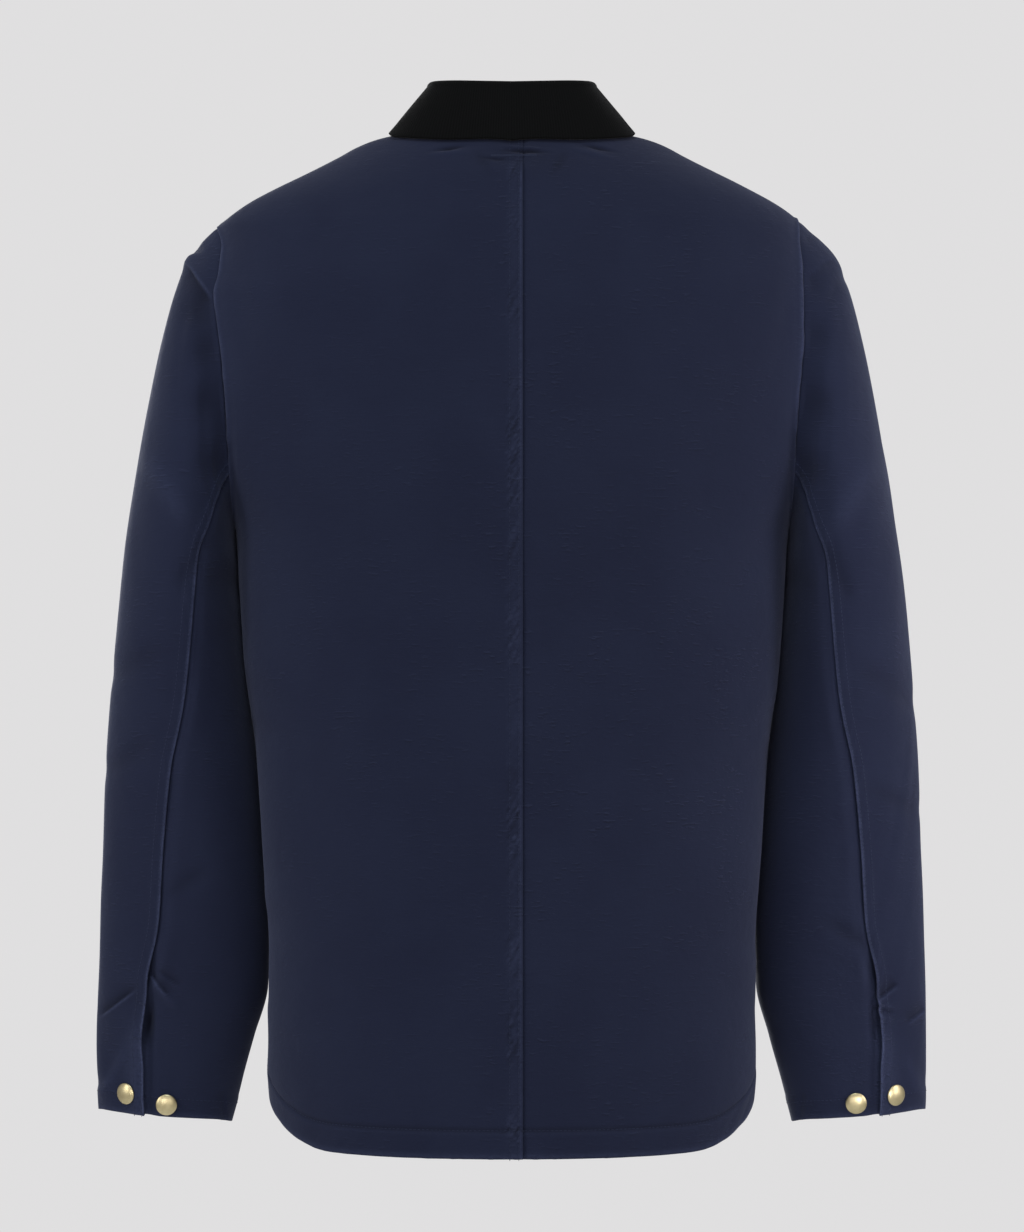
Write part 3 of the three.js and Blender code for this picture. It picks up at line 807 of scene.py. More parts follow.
def canvas_finish():
    """Navy cotton canvas: a plain weave; uneven yarns that show as short slubs, each painted lighter as a
    highlight with a painted shadow below it; paler worn edges mixed with painted highlights; and painted
    shade.
    """
    cloth = Finish("navy_canvas")
    across, up = cloth.flat_map()
    warp = (across * (math.pi / YARN)).sine()
    weft = (up * (math.pi / YARN)).sine()
    weave = (warp * weft) * 0.5 + 0.5
    slub = cloth.grain(across / 9.5, up / 1.8, detail=1.0).between(0.61, 0.70)
    # Painted shadow: a copy of the slubs moved 1.1 mm down, darkening the cloth below each slub
    slub_shadow = cloth.grain(across / 9.5, (up + 1.1) / 1.8, detail=1.0).between(0.61, 0.70)
    fine_slub = cloth.grain(across / 5.0 + 31.0, up / 1.4, detail=1.0).between(0.61, 0.71)
    yarns = cloth.grain(across / 45.0, up / 1.1)
    clusters = cloth.grain(across / 46.0, up / 34.0, 7.0).between(0.42, 0.66)
    amount = cloth.attribute("slub") * (clusters * 0.85 + 0.15)
    crumple = cloth.grain(across / 21.0, up / 15.0, 3.0, 3.0, 0.55)
    height = weave * 0.05 + slub * amount * 0.40 + fine_slub * amount * 0.22 + yarns * 0.10 + crumple * 0.9
    clouds = cloth.grain(across / 70.0, up / 90.0, 11.0, 3.0).between(0.3, 0.7)
    speck = cloth.grain(across / 1.3, up / 0.9, 5.0).between(0.35, 0.75)
    colour = cloth.mix(clouds * 0.40 + speck * 0.30, NAVY_DEEP, NAVY)
    patchy = cloth.grain(across / 3.0, up / 2.0, 9.0, 3.0).between(0.25, 0.65)
    marks_and_painted_light = cloth.attribute("wear_and_highlight") * (patchy * 0.6 + 0.4)
    # Lighter: wear and painted highlights from the wear attribute, and the slubs painted lighter as a
    # highlight
    paler = marks_and_painted_light + (slub * 0.28 + fine_slub * 0.14) * amount
    colour = cloth.mix(paler.math("MINIMUM", 1.0), colour, NAVY_WORN_AND_LIT)
    # Darker: painted shadow under the slubs, and the painted shade of creases, grooves and gaps from the
    # shade attribute
    darker = slub_shadow * amount * (1 - slub) * 0.5 + cloth.attribute("shade")
    colour = cloth.mix(darker.math("MINIMUM", 0.85), colour, NAVY_SHADE)
    cloth.set(Base_Color=colour, Roughness=0.92 - marks_and_painted_light * 0.08, Normal=cloth.relief(height))
    cloth.set(Specular_IOR_Level=0.18, Sheen_Weight=0.10, Sheen_Roughness=0.45)
    cloth.set(Sheen_Tint=(0.55, 0.6, 0.9, 1))
    return cloth.material


def corduroy_finish():
    """Near-black corduroy: wales square to the fold, with short pile between them, and a painted highlight on
    the top of each wale.
    """
    pile = Finish("black_corduroy")
    across, up = pile.flat_map()
    sway = pile.grain(across / 6.0, up / 14.0, detail=1.0) * 0.5
    wale = ((across + sway) * (math.pi / WALE)).sine().math("ABSOLUTE")
    fuzz = pile.grain(across / 0.5, up / 0.9, 0.0, 3.0, 0.6)
    height = wale ** 0.6 * 0.26 + fuzz * 0.10
    # Painted highlight: the colour is lighter where the wales stand highest
    colour = pile.mix(wale * (fuzz * 0.6 + 0.4), BLACK_PILE, BLACK_RIDGE_HIGHLIGHT)
    pile.set(Base_Color=colour, Roughness=0.96, Normal=pile.relief(height))
    pile.set(Specular_IOR_Level=0.08, Sheen_Weight=0.05, Sheen_Roughness=0.3)
    return pile.material


def thread_finish():
    """Tone-on-tone thread, twisted along each stitch."""
    thread = Finish("navy_thread")
    twist = thread.noise(thread.object_place(), 2600.0)
    colour = thread.mix(twist, NAVY, THREAD_NAVY)
    thread.set(Base_Color=colour, Roughness=0.75, Normal=thread.relief(twist * 0.12), Specular_IOR_Level=0.25)
    return thread.material


def brass_finish():
    """Pale satin brass, duller in patches and lightly rubbed."""
    brass = Finish("pale_brass")
    place = brass.object_place()
    rub = brass.noise(place, 900.0, 4.0, 0.6)
    patch = brass.noise(place, 160.0, 3.0).between(0.35, 0.7)
    colour = brass.mix(patch * 0.55 + rub * 0.25, PALE_BRASS, DULL_BRASS)
    brass.set(Base_Color=colour, Metallic=1.0, Roughness=0.30 + rub * 0.16, Normal=brass.relief(rub * 0.03))
    return brass.material


THREAD = thread_finish()
MATERIALS = {"canvas": canvas_finish(), "corduroy": corduroy_finish(), "brass": brass_finish()}

# Body panels

SLUBBED = {
    (1, 1): (0.55, 120, -420),
    (-1, 1): (1.0, -110, -430),
    (1, -1): (0.6, 90, -430),
    (-1, -1): (0.6, -90, -430),
}


def body_levels(facing):
    neck_low = neck_edge(facing, 0.0)[1]
    hem_top = HEM_Z + HEM_DEPTH + 8
    if facing > 0:
        shoulders = [(NECK_TOP, 1), (neck_low, 0.7), (-24, 0.65), (-66, 1.7)]
        return spaced(*shoulders, (-300, 2.4), (hem_top, 2.8), (HEM_Z, 1.5))
    return spaced((NECK_TOP, 1), (neck_low, 2.4), (-300, 3.2), (hem_top, 3.8), (HEM_Z, 2.0))


def body_shares(facing):
    """Shares of a level from the middle to the seam, closer where the seams need it."""
    if facing > 0:
        return spaced((0, 1), (0.09, 0.0042), (0.86, 0.0126), (1, 0.0062))
    return spaced((0, 1), (0.16, 0.011), (0.88, 0.017), (1, 0.011))


def body_grid(side, facing, levels, shares):
    """The form's own points, before folds: rows from the neck down, columns from the middle out."""
    lap = FELL_LAP if side > 0 else -SEAM_GAP / 2
    middle = side * CENTRE_SEAM_X - lap if facing > 0 else -FRONT_LAP
    neck_low = neck_edge(facing, 0.0)[1]
    start_x = np.where(levels > neck_low, np.maximum(neck_x(facing, levels), middle), middle)
    start = angle_at(side, facing, levels, start_x)
    deep = arm_depth(side, facing, levels) / body_at(levels, facing_name(facing))
    end = np.arccos(deep ** (body_at(levels, "square") / 2))
    angle = start[:, None] + (end - start)[:, None] * shares[None, :]
    low = np.minimum(0, levels - HEM_BLEND_Z)[:, None] / (HEM_Z - HEM_BLEND_Z)
    z = np.maximum(levels, HEM_BLEND_Z)[:, None] + low * (hem_z(angle) - HEM_BLEND_Z)
    points = body_point(side, facing, angle, z)
    inside = (levels < arm_tip_z(side)) & (levels > UNDERARM_Z)
    points[inside, -1, 0] -= side * SEAM_GAP
    points[~inside, -1, 1] += facing * SEAM_GAP / 2
    near_breaks = bell(levels - UNDERARM_Z, 70) + bell(levels - arm_tip_z(side), 16)
    keep = 1 - np.clip(near_breaks * 1.4, 0, 1)[:, None] * np.clip((1 - shares[None, :]) / 0.2, 0, 1)
    even = soften(points, fine(60), keep)
    even[:, :, 2] = points[:, :, 2]
    return even, angle


def hem_line(hem_gap, across, seed):
    """Rise of a turned hem: a raised band, a stitched line above it and roping waves along it."""
    band = ease((HEM_DEPTH + 1.5 - hem_gap) / 2.5)
    line = -0.75 * bell(hem_gap - HEM_DEPTH - 1.2, 1.5)
    slanted = across + hem_gap * 0.7
    waves = ripple(slanted, 4.6, seed) * 0.34 + ripple(slanted, 11.0, seed + 1) * 0.3
    return band * (0.5 + waves) + line


def fell_relief(x, z):
    """Rise, wear with painted highlights, and painted shade of the felled centre seam: its band, two sewn
    rows and the puckers between.
    """
    fell_x = x - CENTRE_SEAM_X
    sewn = ease((FELL_TOP - z) / 9)
    on_fell = ease((FELL_WIDTH - fell_x) / 5.5) * sewn
    rows = bell(fell_x - INNER_ROW, 0.7) + bell(fell_x - OUTER_ROW, 0.7)
    group = np.clip(0.55 + 0.75 * ripple(z, 19, 62), 0.1, 1)
    uneven = 0.3 + np.abs(ripple(fell_x - z * 0.45, 3.1, 65))
    puckers = ripple(z + fell_x * 1.9, 1.8, 61) * uneven * group
    small = ripple(z - fell_x * 0.7, 1.3, 66) * ripple(fell_x + z * 0.3, 2.3, 68) * group
    between = ease((fell_x - 0.6) / 1.4) * ease((FELL_WIDTH + 2 - fell_x) / 4) * sewn
    rise = on_fell * FELL_RISE - 0.25 * rows * on_fell + (0.65 * puckers + 0.35 * small) * between
    rise += 0.5 * bell(fell_x - 17, 8) * ripple(z, 27, 63)
    # Wear and a painted highlight: a thin bright line along the fell's edge
    wear_and_highlight = 0.80 * bell(fell_x - 0.1, 0.75) * (0.75 + 0.25 * ripple(z, 5, 67)) * sewn
    # Pucker crests painted lighter as highlights, their troughs painted darker as shade
    wear_and_highlight += between * (0.08 + np.clip(0.55 * puckers + 0.30 * small, 0, 1))
    return rise, wear_and_highlight, between * np.clip(-0.75 * puckers - 0.4 * small, 0, 1)


def seam_foot_rise(x, z):
    """The right back half beside the fell: a groove at the seam and soft waves next to it."""
    off_seam = CENTRE_SEAM_X - x
    return 0.35 * bell(off_seam - 8, 5) * (1 + ripple(z, 13, 64)) - 1.0 * bell(off_seam, 2.8)


def lap_relief(side, x):
    """Rise and wear of the front lap, which stands over the right half."""
    if side < 0:
        return -LAP_SINK * ease((x + FRONT_LAP + LAP_EASE) / LAP_EASE), 0
    lap = x + FRONT_LAP
    return -0.25 * (bell(lap - 2.5, 0.9) + bell(lap - 2 * FRONT_LAP, 0.9)), 0.35 * bell(lap, 1.6)


def body_panel(side, facing):
    levels = body_levels(facing)
    points, angle = body_grid(side, facing, levels, body_shares(facing))
    outward = points * [1, 1, 0] + [0, 0, 40]
    across = lengths(points, 1)
    edge = across[:, -1:] - across
    x = points[..., 0]
    z = points[..., 2]
    hem_gap = z - hem_z(angle)
    in_arm = ((levels < arm_tip_z(side)) & (levels > UNDERARM_Z))[:, None]
    rise = folds_rise(BACK_FOLDS if facing > 0 else FRONT_FOLDS, x, z) * np.clip(edge / 14, 0, 1)
    waves = ripple(x + z * 0.3, 33, 5 + facing) * ripple(z - x * 0.2, 41, 9 + side)
    rise += waves * 0.5 * np.clip(edge / 20, 0, 1)
    rise += hem_line(hem_gap, x, 20 + side + facing) * (0.3 + 0.7 * ease(edge / 40))
    # The seam's own thickness stands up along the armhole and along the side
    seam_wave = 1 + 0.35 * ripple(z, 9, 40 + side)
    rise += np.where(in_arm, 1.1, 0.35) * bell(edge - 0.6, 4.0) * seam_wave
    rise += ease((-628 - z) / 20) * 0.8 * ripple(z, 24, 50 + side) * bell(edge, 30)
    # Wear and a painted highlight along the raised seam edges; wear along the hem's folded edge
    wear_and_highlight = 0.50 * bell(edge - 0.8, 2.2) * np.where(in_arm, seam_wave, 0.3) + 0.35 * bell(hem_gap - 1, 2.5)
    # Painted highlight along the body's sides; the top of the hem band is lighter too
    wear_and_highlight += 0.10 * bell(edge, 16) + 0.10 * bell(hem_gap - HEM_DEPTH, 2.0)
    # Painted shade in the groove of the hem's stitched line, weaker towards the side seams
    shade = 0.40 * bell(hem_gap - HEM_DEPTH - 1.5, 1.8) * (0.2 + 0.8 * ease((edge - 45) / 45))
    strength, centre_x, centre_z = SLUBBED[side, facing]
    slub = strength * (0.45 + 0.55 * bell(x - centre_x, 120) * bell(z - centre_z, 200))
    wall = WALL + (HEM_WALL - WALL) * ease((HEM_DEPTH - hem_gap) / 2)
    if facing > 0:
        neck_folds = folds_rise(BACK_FOLDS, x, z) * ease((z + 45) / 15)
        # Painted shade in the dimples and a painted shadow under the collar; painted highlights on the raised
        # folds
        shade += np.clip(-neck_folds * 0.45, 0, 0.8) + 0.22 * bell(x + 8, 36) * ease((z + 44) / 20)
        wear_and_highlight += np.clip(neck_folds * 0.12, 0, 0.3)
        if side > 0:
            fell_rise, fell_wear_and_highlight, fell_shade = fell_relief(x, z)
            rise += fell_rise
            wear_and_highlight += fell_wear_and_highlight
            shade += fell_shade
            slub += 0.5 * bell(x - CENTRE_SEAM_X, 24)
            wall += (FELL_WALL - wall) * ease((2.6 - (x - CENTRE_SEAM_X)) / 1.6)
        else:
            rise += seam_foot_rise(x, z)
    else:
        lap_rise, lap_wear = lap_relief(side, x)
        rise += lap_rise
        wear_and_highlight += lap_wear
    outer = points + grid_normals(points, outward) * rise[..., None]
    normal = grid_normals(outer, outward)
    inner = outer - normal * wall[..., None]
    flat = np.stack([across * side, z], -1)
    piece = shell(f"{facing_name(facing)}_{side_name(side)}", outer, inner, flat, wear_and_highlight, slub, shade)
    return {"piece": piece, "outer": outer, "normal": normal, "edge": edge, "hem": hem_gap}


# Sleeves


def sleeve_at(ring, column):
    return along(SLEEVE, "ring", ring, column)


def sleeve_point(side, ring, angle):
    power = 2 / sleeve_at(ring, "square")
    out = signed_power(np.cos(np.radians(angle)), power)
    deep = signed_power(np.sin(np.radians(angle)), power)
    tip_z = arm_tip_z(side)
    tip_x = ARM_SEAM[side]["x"][0]
    near = np.maximum(0, 1 - ring / 2) ** 2
    out_x = sleeve_at(ring, "outX") + (tip_x - SLEEVE["outX"][0]) * near
    out_z = sleeve_at(ring, "outZ") + (tip_z - SLEEVE["outZ"][0]) * near
    in_x = sleeve_at(ring, "inX")
    in_z = sleeve_at(ring, "inZ")
    z = (in_z + out_z) / 2 + (out_z - in_z) / 2 * out
    straight = (in_x + out_x) / 2 + (out_x - in_x) / 2 * out
    first_z = (UNDERARM_Z + tip_z) / 2 + (tip_z - UNDERARM_Z) / 2 * out
    first_x = (SLEEVE["inX"][0] + tip_x) / 2 + (tip_x - SLEEVE["inX"][0]) / 2 * out
    near_seam = np.maximum(0, 1 - ring / ARM_WAVE_RINGS)
    wave = (along(ARM_SEAM[side], "z", first_z, "x") - first_x) * near_seam**2
    seam_deep = np.where(deep > 0, ARM_BACK, ARM_FRONT) - SLEEVE["deep"][0]
    half = sleeve_at(ring, "deep") + seam_deep * near_seam
    y = sleeve_at(ring, "midY") + half * deep
    return np.stack(np.broadcast_arrays(side * (straight + wave), y, z), -1)


def spread(ring, length):
    """Degrees round a sleeve that a length of cloth takes up at a section."""
    wide = sleeve_at(ring, "outX") - sleeve_at(ring, "inX")
    high = sleeve_at(ring, "outZ") - sleeve_at(ring, "inZ")
    reach = np.sqrt(wide**2 + high**2 + sleeve_at(ring, "deep") ** 2)
    return np.degrees(length / reach) * 1.6


def sleeve_rings():
    """Rings at stated steps down the outer line, closer at the sleeve head and the cuff."""
    dense = np.linspace(0, LAST_RING, 1601)
    line = sleeve_point(1, dense, np.zeros(1601))
    run = np.concatenate([[0], np.cumsum(np.linalg.norm(np.diff(line, axis=0), axis=1))])
    places = spaced((0, 1), (90, 1.4), (run[-1] - 125, 3.6), (run[-1], 1.35))
    return np.interp(places, run, dense)


def sleeve_grid(side, upper):
    """The form's own points of one sleeve piece, before folds, with their rings and angles."""
    ring = sleeve_rings()
    seam = sleeve_at(ring, "seam")
    gap = spread(ring, SEAM_GAP)
    tuck = spread(ring, SEAM_TUCK)
    tuck += spread(ring, VENT_TUCK - SEAM_TUCK) * ease((ring - VENT_TOP + VENT_EASE) / VENT_EASE)
    if upper:
        start = SLEEVE_FRONT_SEAM + gap
        end = seam - gap
        shares = spaced((0, 1), (0.46, 0.0165), (0.975, 0.0075), (1, 0.0033))
    else:
        start = seam + gap - tuck
        end = SLEEVE_FRONT_SEAM + 360 - gap
        shares = spaced((0, 1), (0.2, 0.011), (0.6, 0.017), (1, 0.028))
    angle = start[:, None] + (end - start)[:, None] * shares[None, :]
    rings = np.broadcast_to(ring[:, None], angle.shape)
    points = sleeve_point(side, rings, angle)
    corner = ease((rings - (LAST_RING - 0.8)) / 0.8)
    inner_corner = bell((angle + 360) % 360 - 180, 30)
    outer_corner = bell((angle + 180) % 360 - 180, 20)
    points[..., 2] -= corner * CORNER_DROP * (inner_corner + 0.5 * outer_corner)
    points[..., 0] += side * corner * CORNER_OUT * (outer_corner + 0.6 * inner_corner)
    points[0, :, 0] += side * SEAM_GAP * 1.3
    ends = [sleeve_point(side, ring, np.full(len(ring), turn)) for turn in (0.0, 180.0)]
    return points, rings, angle, points - (sum(ends) / 2)[:, None, :]


def placed_relief(side, points, rings):
    """Rise, painted highlights and painted shade of the creases, tucks and hollows that the picture shows on
    a sleeve's back.
    """
    x = np.abs(points[..., 0])
    z = points[..., 2]
    behind = np.clip((points[..., 1] - sleeve_at(rings, "midY") + 6) / 12, 0, 1)
    shown = ease(behind) * np.clip(rings / 0.5, 0, 1)
    tucks = tucks_rise(SLEEVE_TUCKS[side], x, z) * shown
    creases = creases_rise(SLEEVE_CREASES[side], x, z) * shown
    hollows = hollows_rise(SLEEVE_HOLLOWS[side], x, z) * shown
    # Painted highlights on the lips and ridges, painted shade in the troughs and hollows
    wear_and_highlight = np.clip(1.1 * tucks + 0.15 * creases, 0, 0.7)
    shade = np.clip(-0.38 * tucks - 0.16 * creases, 0, 0.7) + np.clip(-0.10 * hollows, 0, 0.45)
    return 1.3 * tucks + 1.3 * creases + hollows, wear_and_highlight, shade


def slit_gape(side, rings, reach):
    """How far the cuff's slit stands open, which shows most on the left sleeve."""
    return bell(rings - 13.86, reach) if side > 0 else bell(rings - 13.8, 0.3) * 0.3


def upper_seam(side, rings, down, to_seam, vent):
    """Rise, and wear with painted highlights, of the upper piece's felled back edge, with its puckers and the
    lip of the slit.
    """
    fell = ease((9.5 - to_seam) / 2)
    uneven = 0.4 + 0.6 * np.abs(ripple(down, 24, 76 + side))
    puckers = ripple(down + to_seam * 0.6, 3.1, 75 + side) * uneven
    rise = fell * 0.85 + 0.22 * puckers * bell(to_seam - 5, 4.5)
    rise -= 0.28 * (bell(to_seam - UPPER_ROWS[0], 0.8) + bell(to_seam - UPPER_ROWS[1], 0.8)) * fell
    rise += 0.45 * bell(to_seam - 1.0, 1.5) + 0.9 * vent * bell(to_seam, 2.4)
    rise += slit_gape(side, rings, 0.42) * 1.6 * bell(to_seam, 7)
    # Wear and a painted highlight along the ridge, and painted highlights on the pucker crests
    wear_and_highlight = (0.85 + 0.3 * vent) * bell(to_seam - 0.5, 1.6) * (0.8 + 0.2 * ripple(down, 7, 84 + side))
    return rise, wear_and_highlight + 0.14 * bell(to_seam - 5, 3.5) * np.clip(puckers, 0, 1)


def under_seam(side, rings, angle, down, to_seam, vent):
    """Rise, wear and painted shade of the under piece, which sinks below the upper one at the seam and the
    slit.
    """
    past_seam = angle - sleeve_at(rings, "seam")
    opened = ease((rings - VENT_TOP + 2 * VENT_EASE) / VENT_EASE)
    near = np.clip(1 - past_seam / spread(rings, VENT_TUCK), 0, 1)
    past_edge = past_seam / spread(rings, 1.0)
    gape = slit_gape(side, rings, 0.36)
    rise = -VENT_SINK * opened * ease(near)
    rise -= gape * (2.6 * ease(near * 1.3) + 5.0 * bell(past_edge - 2.0, 4.0))
    rise -= 1.5 * ease((4.2 - to_seam) / 2.4) * (1 - vent)
    rise += 0.5 * bell(to_seam - 10, 6) * (1 + ripple(down, 15, 78 + side)) * (1 - vent)
    # Painted shade in the slit's open gap
    return rise, 0.1 * bell(to_seam - 9, 4), 0.85 * gape * bell(past_edge - 1.0, 3.2)


def sleeve_panel(side, piece_name):
    upper = piece_name == "upper"
    points, rings, angle, outward = sleeve_grid(side, upper)
    across = lengths(points, 1)
    other = across[:, -1:] - across
    to_seam, to_front = (other, across) if upper else (across, other)
    down = lengths(points, 0)
    left = down[-1:] - down
    free = ease(rings / 1.5)
    rise, wear_and_highlight, shade = placed_relief(side, points, rings)
    rise += free * folds_rise(SLEEVE_FOLDS[side], angle, rings, ANGLE_A_RING)
    touching = bell(((angle + 360) % 360) - 180, 22) * ease((rings - 3) / 1.5) * ease((13 - rings) / 1)
    waves = ripple(down + across * 0.4, 37, 70 + side) * ripple(across - down * 0.25, 29, 72 + side)
    rise += waves * 0.9 * free * (1 - touching) + 0.45 * touching
    rise += 0.3 * bell(to_front, 4) - 0.7 * bell(rings, 0.12)
    # Wear along the cuff's edge, and a painted highlight along the sleeve's outer side
    wear_and_highlight += 0.3 * bell(left - 1, 2.5) + 0.16 * bell((angle + 180) % 360 - 180, 24)
    vent = ease((rings - VENT_TOP + 0.2) / 0.3)
    if upper:
        seam_rise, seam_wear_and_highlight = upper_seam(side, rings, down, to_seam, vent)
    else:
        seam_rise, seam_wear_and_highlight, seam_shade = under_seam(side, rings, angle, down, to_seam, vent)
        shade += seam_shade
    cuff = ease((rings - (LAST_RING - 0.6)) / 0.1)
    rise += seam_rise + cuff * (0.35 + 0.25 * ripple(across, 8, 80 + side))
    wear_and_highlight += seam_wear_and_highlight
    outer = points + grid_normals(points, outward) * rise[..., None]
    normal = grid_normals(outer, outward)
    level = normal[0] * [1, 0, 0] * side > 0
    normal[0] = np.where(level.any(axis=-1, keepdims=True), normal[0] * [0, 1, 1], normal[0])
    normal[0] /= np.linalg.norm(normal[0], axis=-1, keepdims=True)
    inner = outer - normal * (WALL + (HEM_WALL - WALL) * cuff)[..., None]
    x = np.abs(points[..., 0])
    z = points[..., 2]
    outer_x = np.interp(-z, -SLEEVE["outZ"], SLEEVE["outX"])
    inner_x = np.interp(-z, -SLEEVE["inZ"], SLEEVE["inX"])
    turn = np.arctan2(points[..., 1] - sleeve_at(rings, "midY"), x - (outer_x + inner_x) / 2)
    flat = np.stack([np.unwrap(turn, axis=1) * SLEEVE_GIRTH_RADIUS * side, z], -1)
    # The sleeve's edge is turned in under the body's at the armhole
    turned = np.array([-side * TURNED_IN, 0, 0]) - normal[:1] * 0.9
    outer = np.concatenate([outer[:1] + turned, outer])
    inner = np.concatenate([inner[:1] + turned, inner])
    normal, flat, wear_and_highlight, shade, to_seam, left = (
        np.concatenate([values[:1], values]) for values in (normal, flat, wear_and_highlight, shade, to_seam, left)
    )
    piece = shell(f"sleeve_{side_name(side)}_{piece_name}", outer, inner, flat, wear_and_highlight, PLAIN_SLUB, shade)
    return {"piece": piece, "outer": outer, "normal": normal, "seam": to_seam, "left": left}


# Collar


def collar_columns(side):
    back_t = np.linspace(0, 1, fine(52))
    front_t = np.linspace(1, COLLAR_END, fine(52))
    back_x, back_z = neck_edge(1, back_t)
    front_x, front_z = neck_edge(-1, front_t)
    back = body_point(side, 1, angle_at(side, 1, back_z, back_x), back_z)
    front = body_point(side, -1, angle_at(side, -1, front_z, front_x), front_z)
    tip = np.array([[side * body_at(NECK_TOP, "half"), 0, NECK_TOP]])
    base = np.concatenate([back, tip, front])
    turn = np.concatenate([0.46 * back_t, [0.5], 1 - 0.46 * front_t])
    base = smooth_line(base, fine(16))
    inward = -base * [1, 1, 0]
    inward /= np.linalg.norm(inward, axis=1, keepdims=True)
    base = base + inward * COLLAR_WALL / 2 + [0, 0, 2 * SEAM_GAP]
    at = {name: along(COLLAR, "turn", turn, name) for name in ("foldX", "foldY", "foldZ", "edgeX", "edgeY")}
    crest = smooth_line(np.stack([side * at["foldX"], at["foldY"], at["foldZ"]], 1), fine(10))
    edge = smooth_line(np.stack([side * at["edgeX"], at["edgeY"], 0 * at["edgeX"]], 1), fine(8))
    edge[:, 2] = rest_height(edge[:, 0], edge[:, 1], COLLAR_LIFT)
    return base, crest, edge


def smooth_line(line, passes):
    for _ in range(passes):
        even = line.copy()
        even[1:-1] = (line[:-2] + 2 * line[1:-1] + line[2:]) / 4
        line = even
    return line


def opening_height(row):
    """The most that a place inside the neck opening is lifted by the form: the neck edge's own height."""
    share = np.clip(1 - (row[:, 0] / NECK_HALF) ** 2, 0, 1)
    inside = (row[:, 1] < 0) & (share > 0)
    return np.where(inside, NECK_TOP - NECK_FRONT_DROP * np.sqrt(share) + 2 * COLLAR_LIFT, NECK_TOP + 99)


def collar_profile(base, crest, edge):
    """Rows of the collar from the neck seam up the stand, over the fold and down the fall."""
    out = (edge - crest) * [1, 1, 0]
    out /= np.linalg.norm(out, axis=1, keepdims=True)
    up = np.array([0, 0, 1.0])
    beside = np.clip(np.abs(crest[:, :1]) / 57, 0, 1) ** 3
    radius = ROLL + (SIDE_ROLL - ROLL) * beside

    def roll(turned):
        return crest + out * radius * math.cos(turned) + up * radius * (math.sin(turned) - 1)

    rows = []
    for t in np.linspace(0, 1, fine(STAND_ROWS), endpoint=False):
        rows.append(base + (roll(math.pi) - base) * t - out * 1.2 * math.sin(math.pi * t))
    for turned in np.linspace(math.pi, 0, fine(FOLD_ROWS), endpoint=False):
        rows.append(roll(turned))

    def fall(t):
        row = roll(0) + (edge - roll(0)) * t + out * COLLAR_BELLY * 4 * t * (1 - t)
        return row, rest_height(row[:, 0], row[:, 1], COLLAR_LIFT)

    heights = [roll(0)[:, 2]]
    for t in FALL_STOPS[1:]:
        row, rest = fall(t)
        heights.append(np.maximum(row[:, 2], rest))
    heights = np.array(heights)
    falling = []
    for t in np.linspace(0, 1, fine(FALL_ROWS)):
        row, rest = fall(t)
        k = min(int(t * len(FALL_STOPS[1:])), len(FALL_STOPS) - 2)
        share = (t - FALL_STOPS[k]) / (FALL_STOPS[k + 1] - FALL_STOPS[k])
        row[:, 2] = heights[k] * (1 - share) + heights[k + 1] * share
        row[:, 2] = np.maximum(row[:, 2], np.minimum(rest, opening_height(row)))
        falling.append(row)
    falling = smooth_line(np.stack(falling), fine(14))
    return np.concatenate([np.stack(rows), falling]).transpose(1, 0, 2)


def collar():
    left = collar_profile(*collar_columns(1))
    right = collar_profile(*collar_columns(-1))
    points = np.concatenate([left[::-1], right[1:]])
    across = lengths(points, 0)
    down = lengths(points, 1)
    fall = np.arange(points.shape[1]) >= fine(STAND_ROWS) + fine(FOLD_ROWS) // 2
    normal = grid_cross(points)
    to_edge = down[:, -1:] - down
    rise = 0.15 * bell(to_edge - 2, 3)
    rise += 0.5 * ripple(across, 33, 90) * ease(1 - to_edge / 30) * fall[None, :]
    outer = points + normal * (COLLAR_WALL / 2 + rise)[..., None]
    inner = points - normal * COLLAR_WALL / 2
    middle_run = np.broadcast_to(across[:, points.shape[1] // 2, None], across.shape)
    flat = np.stack([middle_run, down], -1)
    return {"piece": shell("collar", outer, inner, flat, 0, 0, 0, "corduroy"), "outer": outer}


panels = {(side, facing): body_panel(side, facing) for side in (1, -1) for facing in (1, -1)}
sleeves = {(side, name): sleeve_panel(side, name) for side in (1, -1) for name in ("upper", "under")}
collar_parts = collar()


# Pockets


def pocket(side):
    levels = spaced((POCKET_TOP, 1), (POCKET_BOTTOM, 3.2))
    full = spaced((0, 1), (1, 0.017))
    shares = POCKET_SHARES[0] + (POCKET_SHARES[1] - POCKET_SHARES[0]) * full
    points = body_grid(side, -1, levels, shares)[0]
    normal = grid_normals(points, points * [1, 1, 0])
    x = points[..., 0]
    z = points[..., 2]
    slub_shadow = folds_rise(FRONT_FOLDS, x, z)
    across = lengths(points, 1)
    down = lengths(points, 0)
    rim = np.minimum(np.minimum(across, across[:, -1:] - across), np.minimum(down, down[-1:] - down))
    puff = 2.2 * ease(rim / 40)
    rise = slub_shadow + REST_GAP + 0.6 + POCKET_WALL + puff
    rise += 0.3 * bell(rim - 3, 2) - 0.25 * bell(rim - POCKET_ROWS[1], 1.2)
    outer = points + normal * rise[..., None]
    inner = outer - normal * POCKET_WALL
    flat = np.stack([across * side, -down], -1)
    wear_and_highlight = 0.4 * bell(rim, 1.6)
    # Painted shade along the inner stitched row
    shade = 0.3 * bell(rim - POCKET_ROWS[1], 1.4)
    piece = shell(f"pocket_{side_name(side)}", outer, inner, flat, wear_and_highlight, PLAIN_SLUB, shade)
    return {"piece": piece, "outer": outer, "normal": normal}


pockets = {side: pocket(side) for side in (1, -1)}


# Snaps

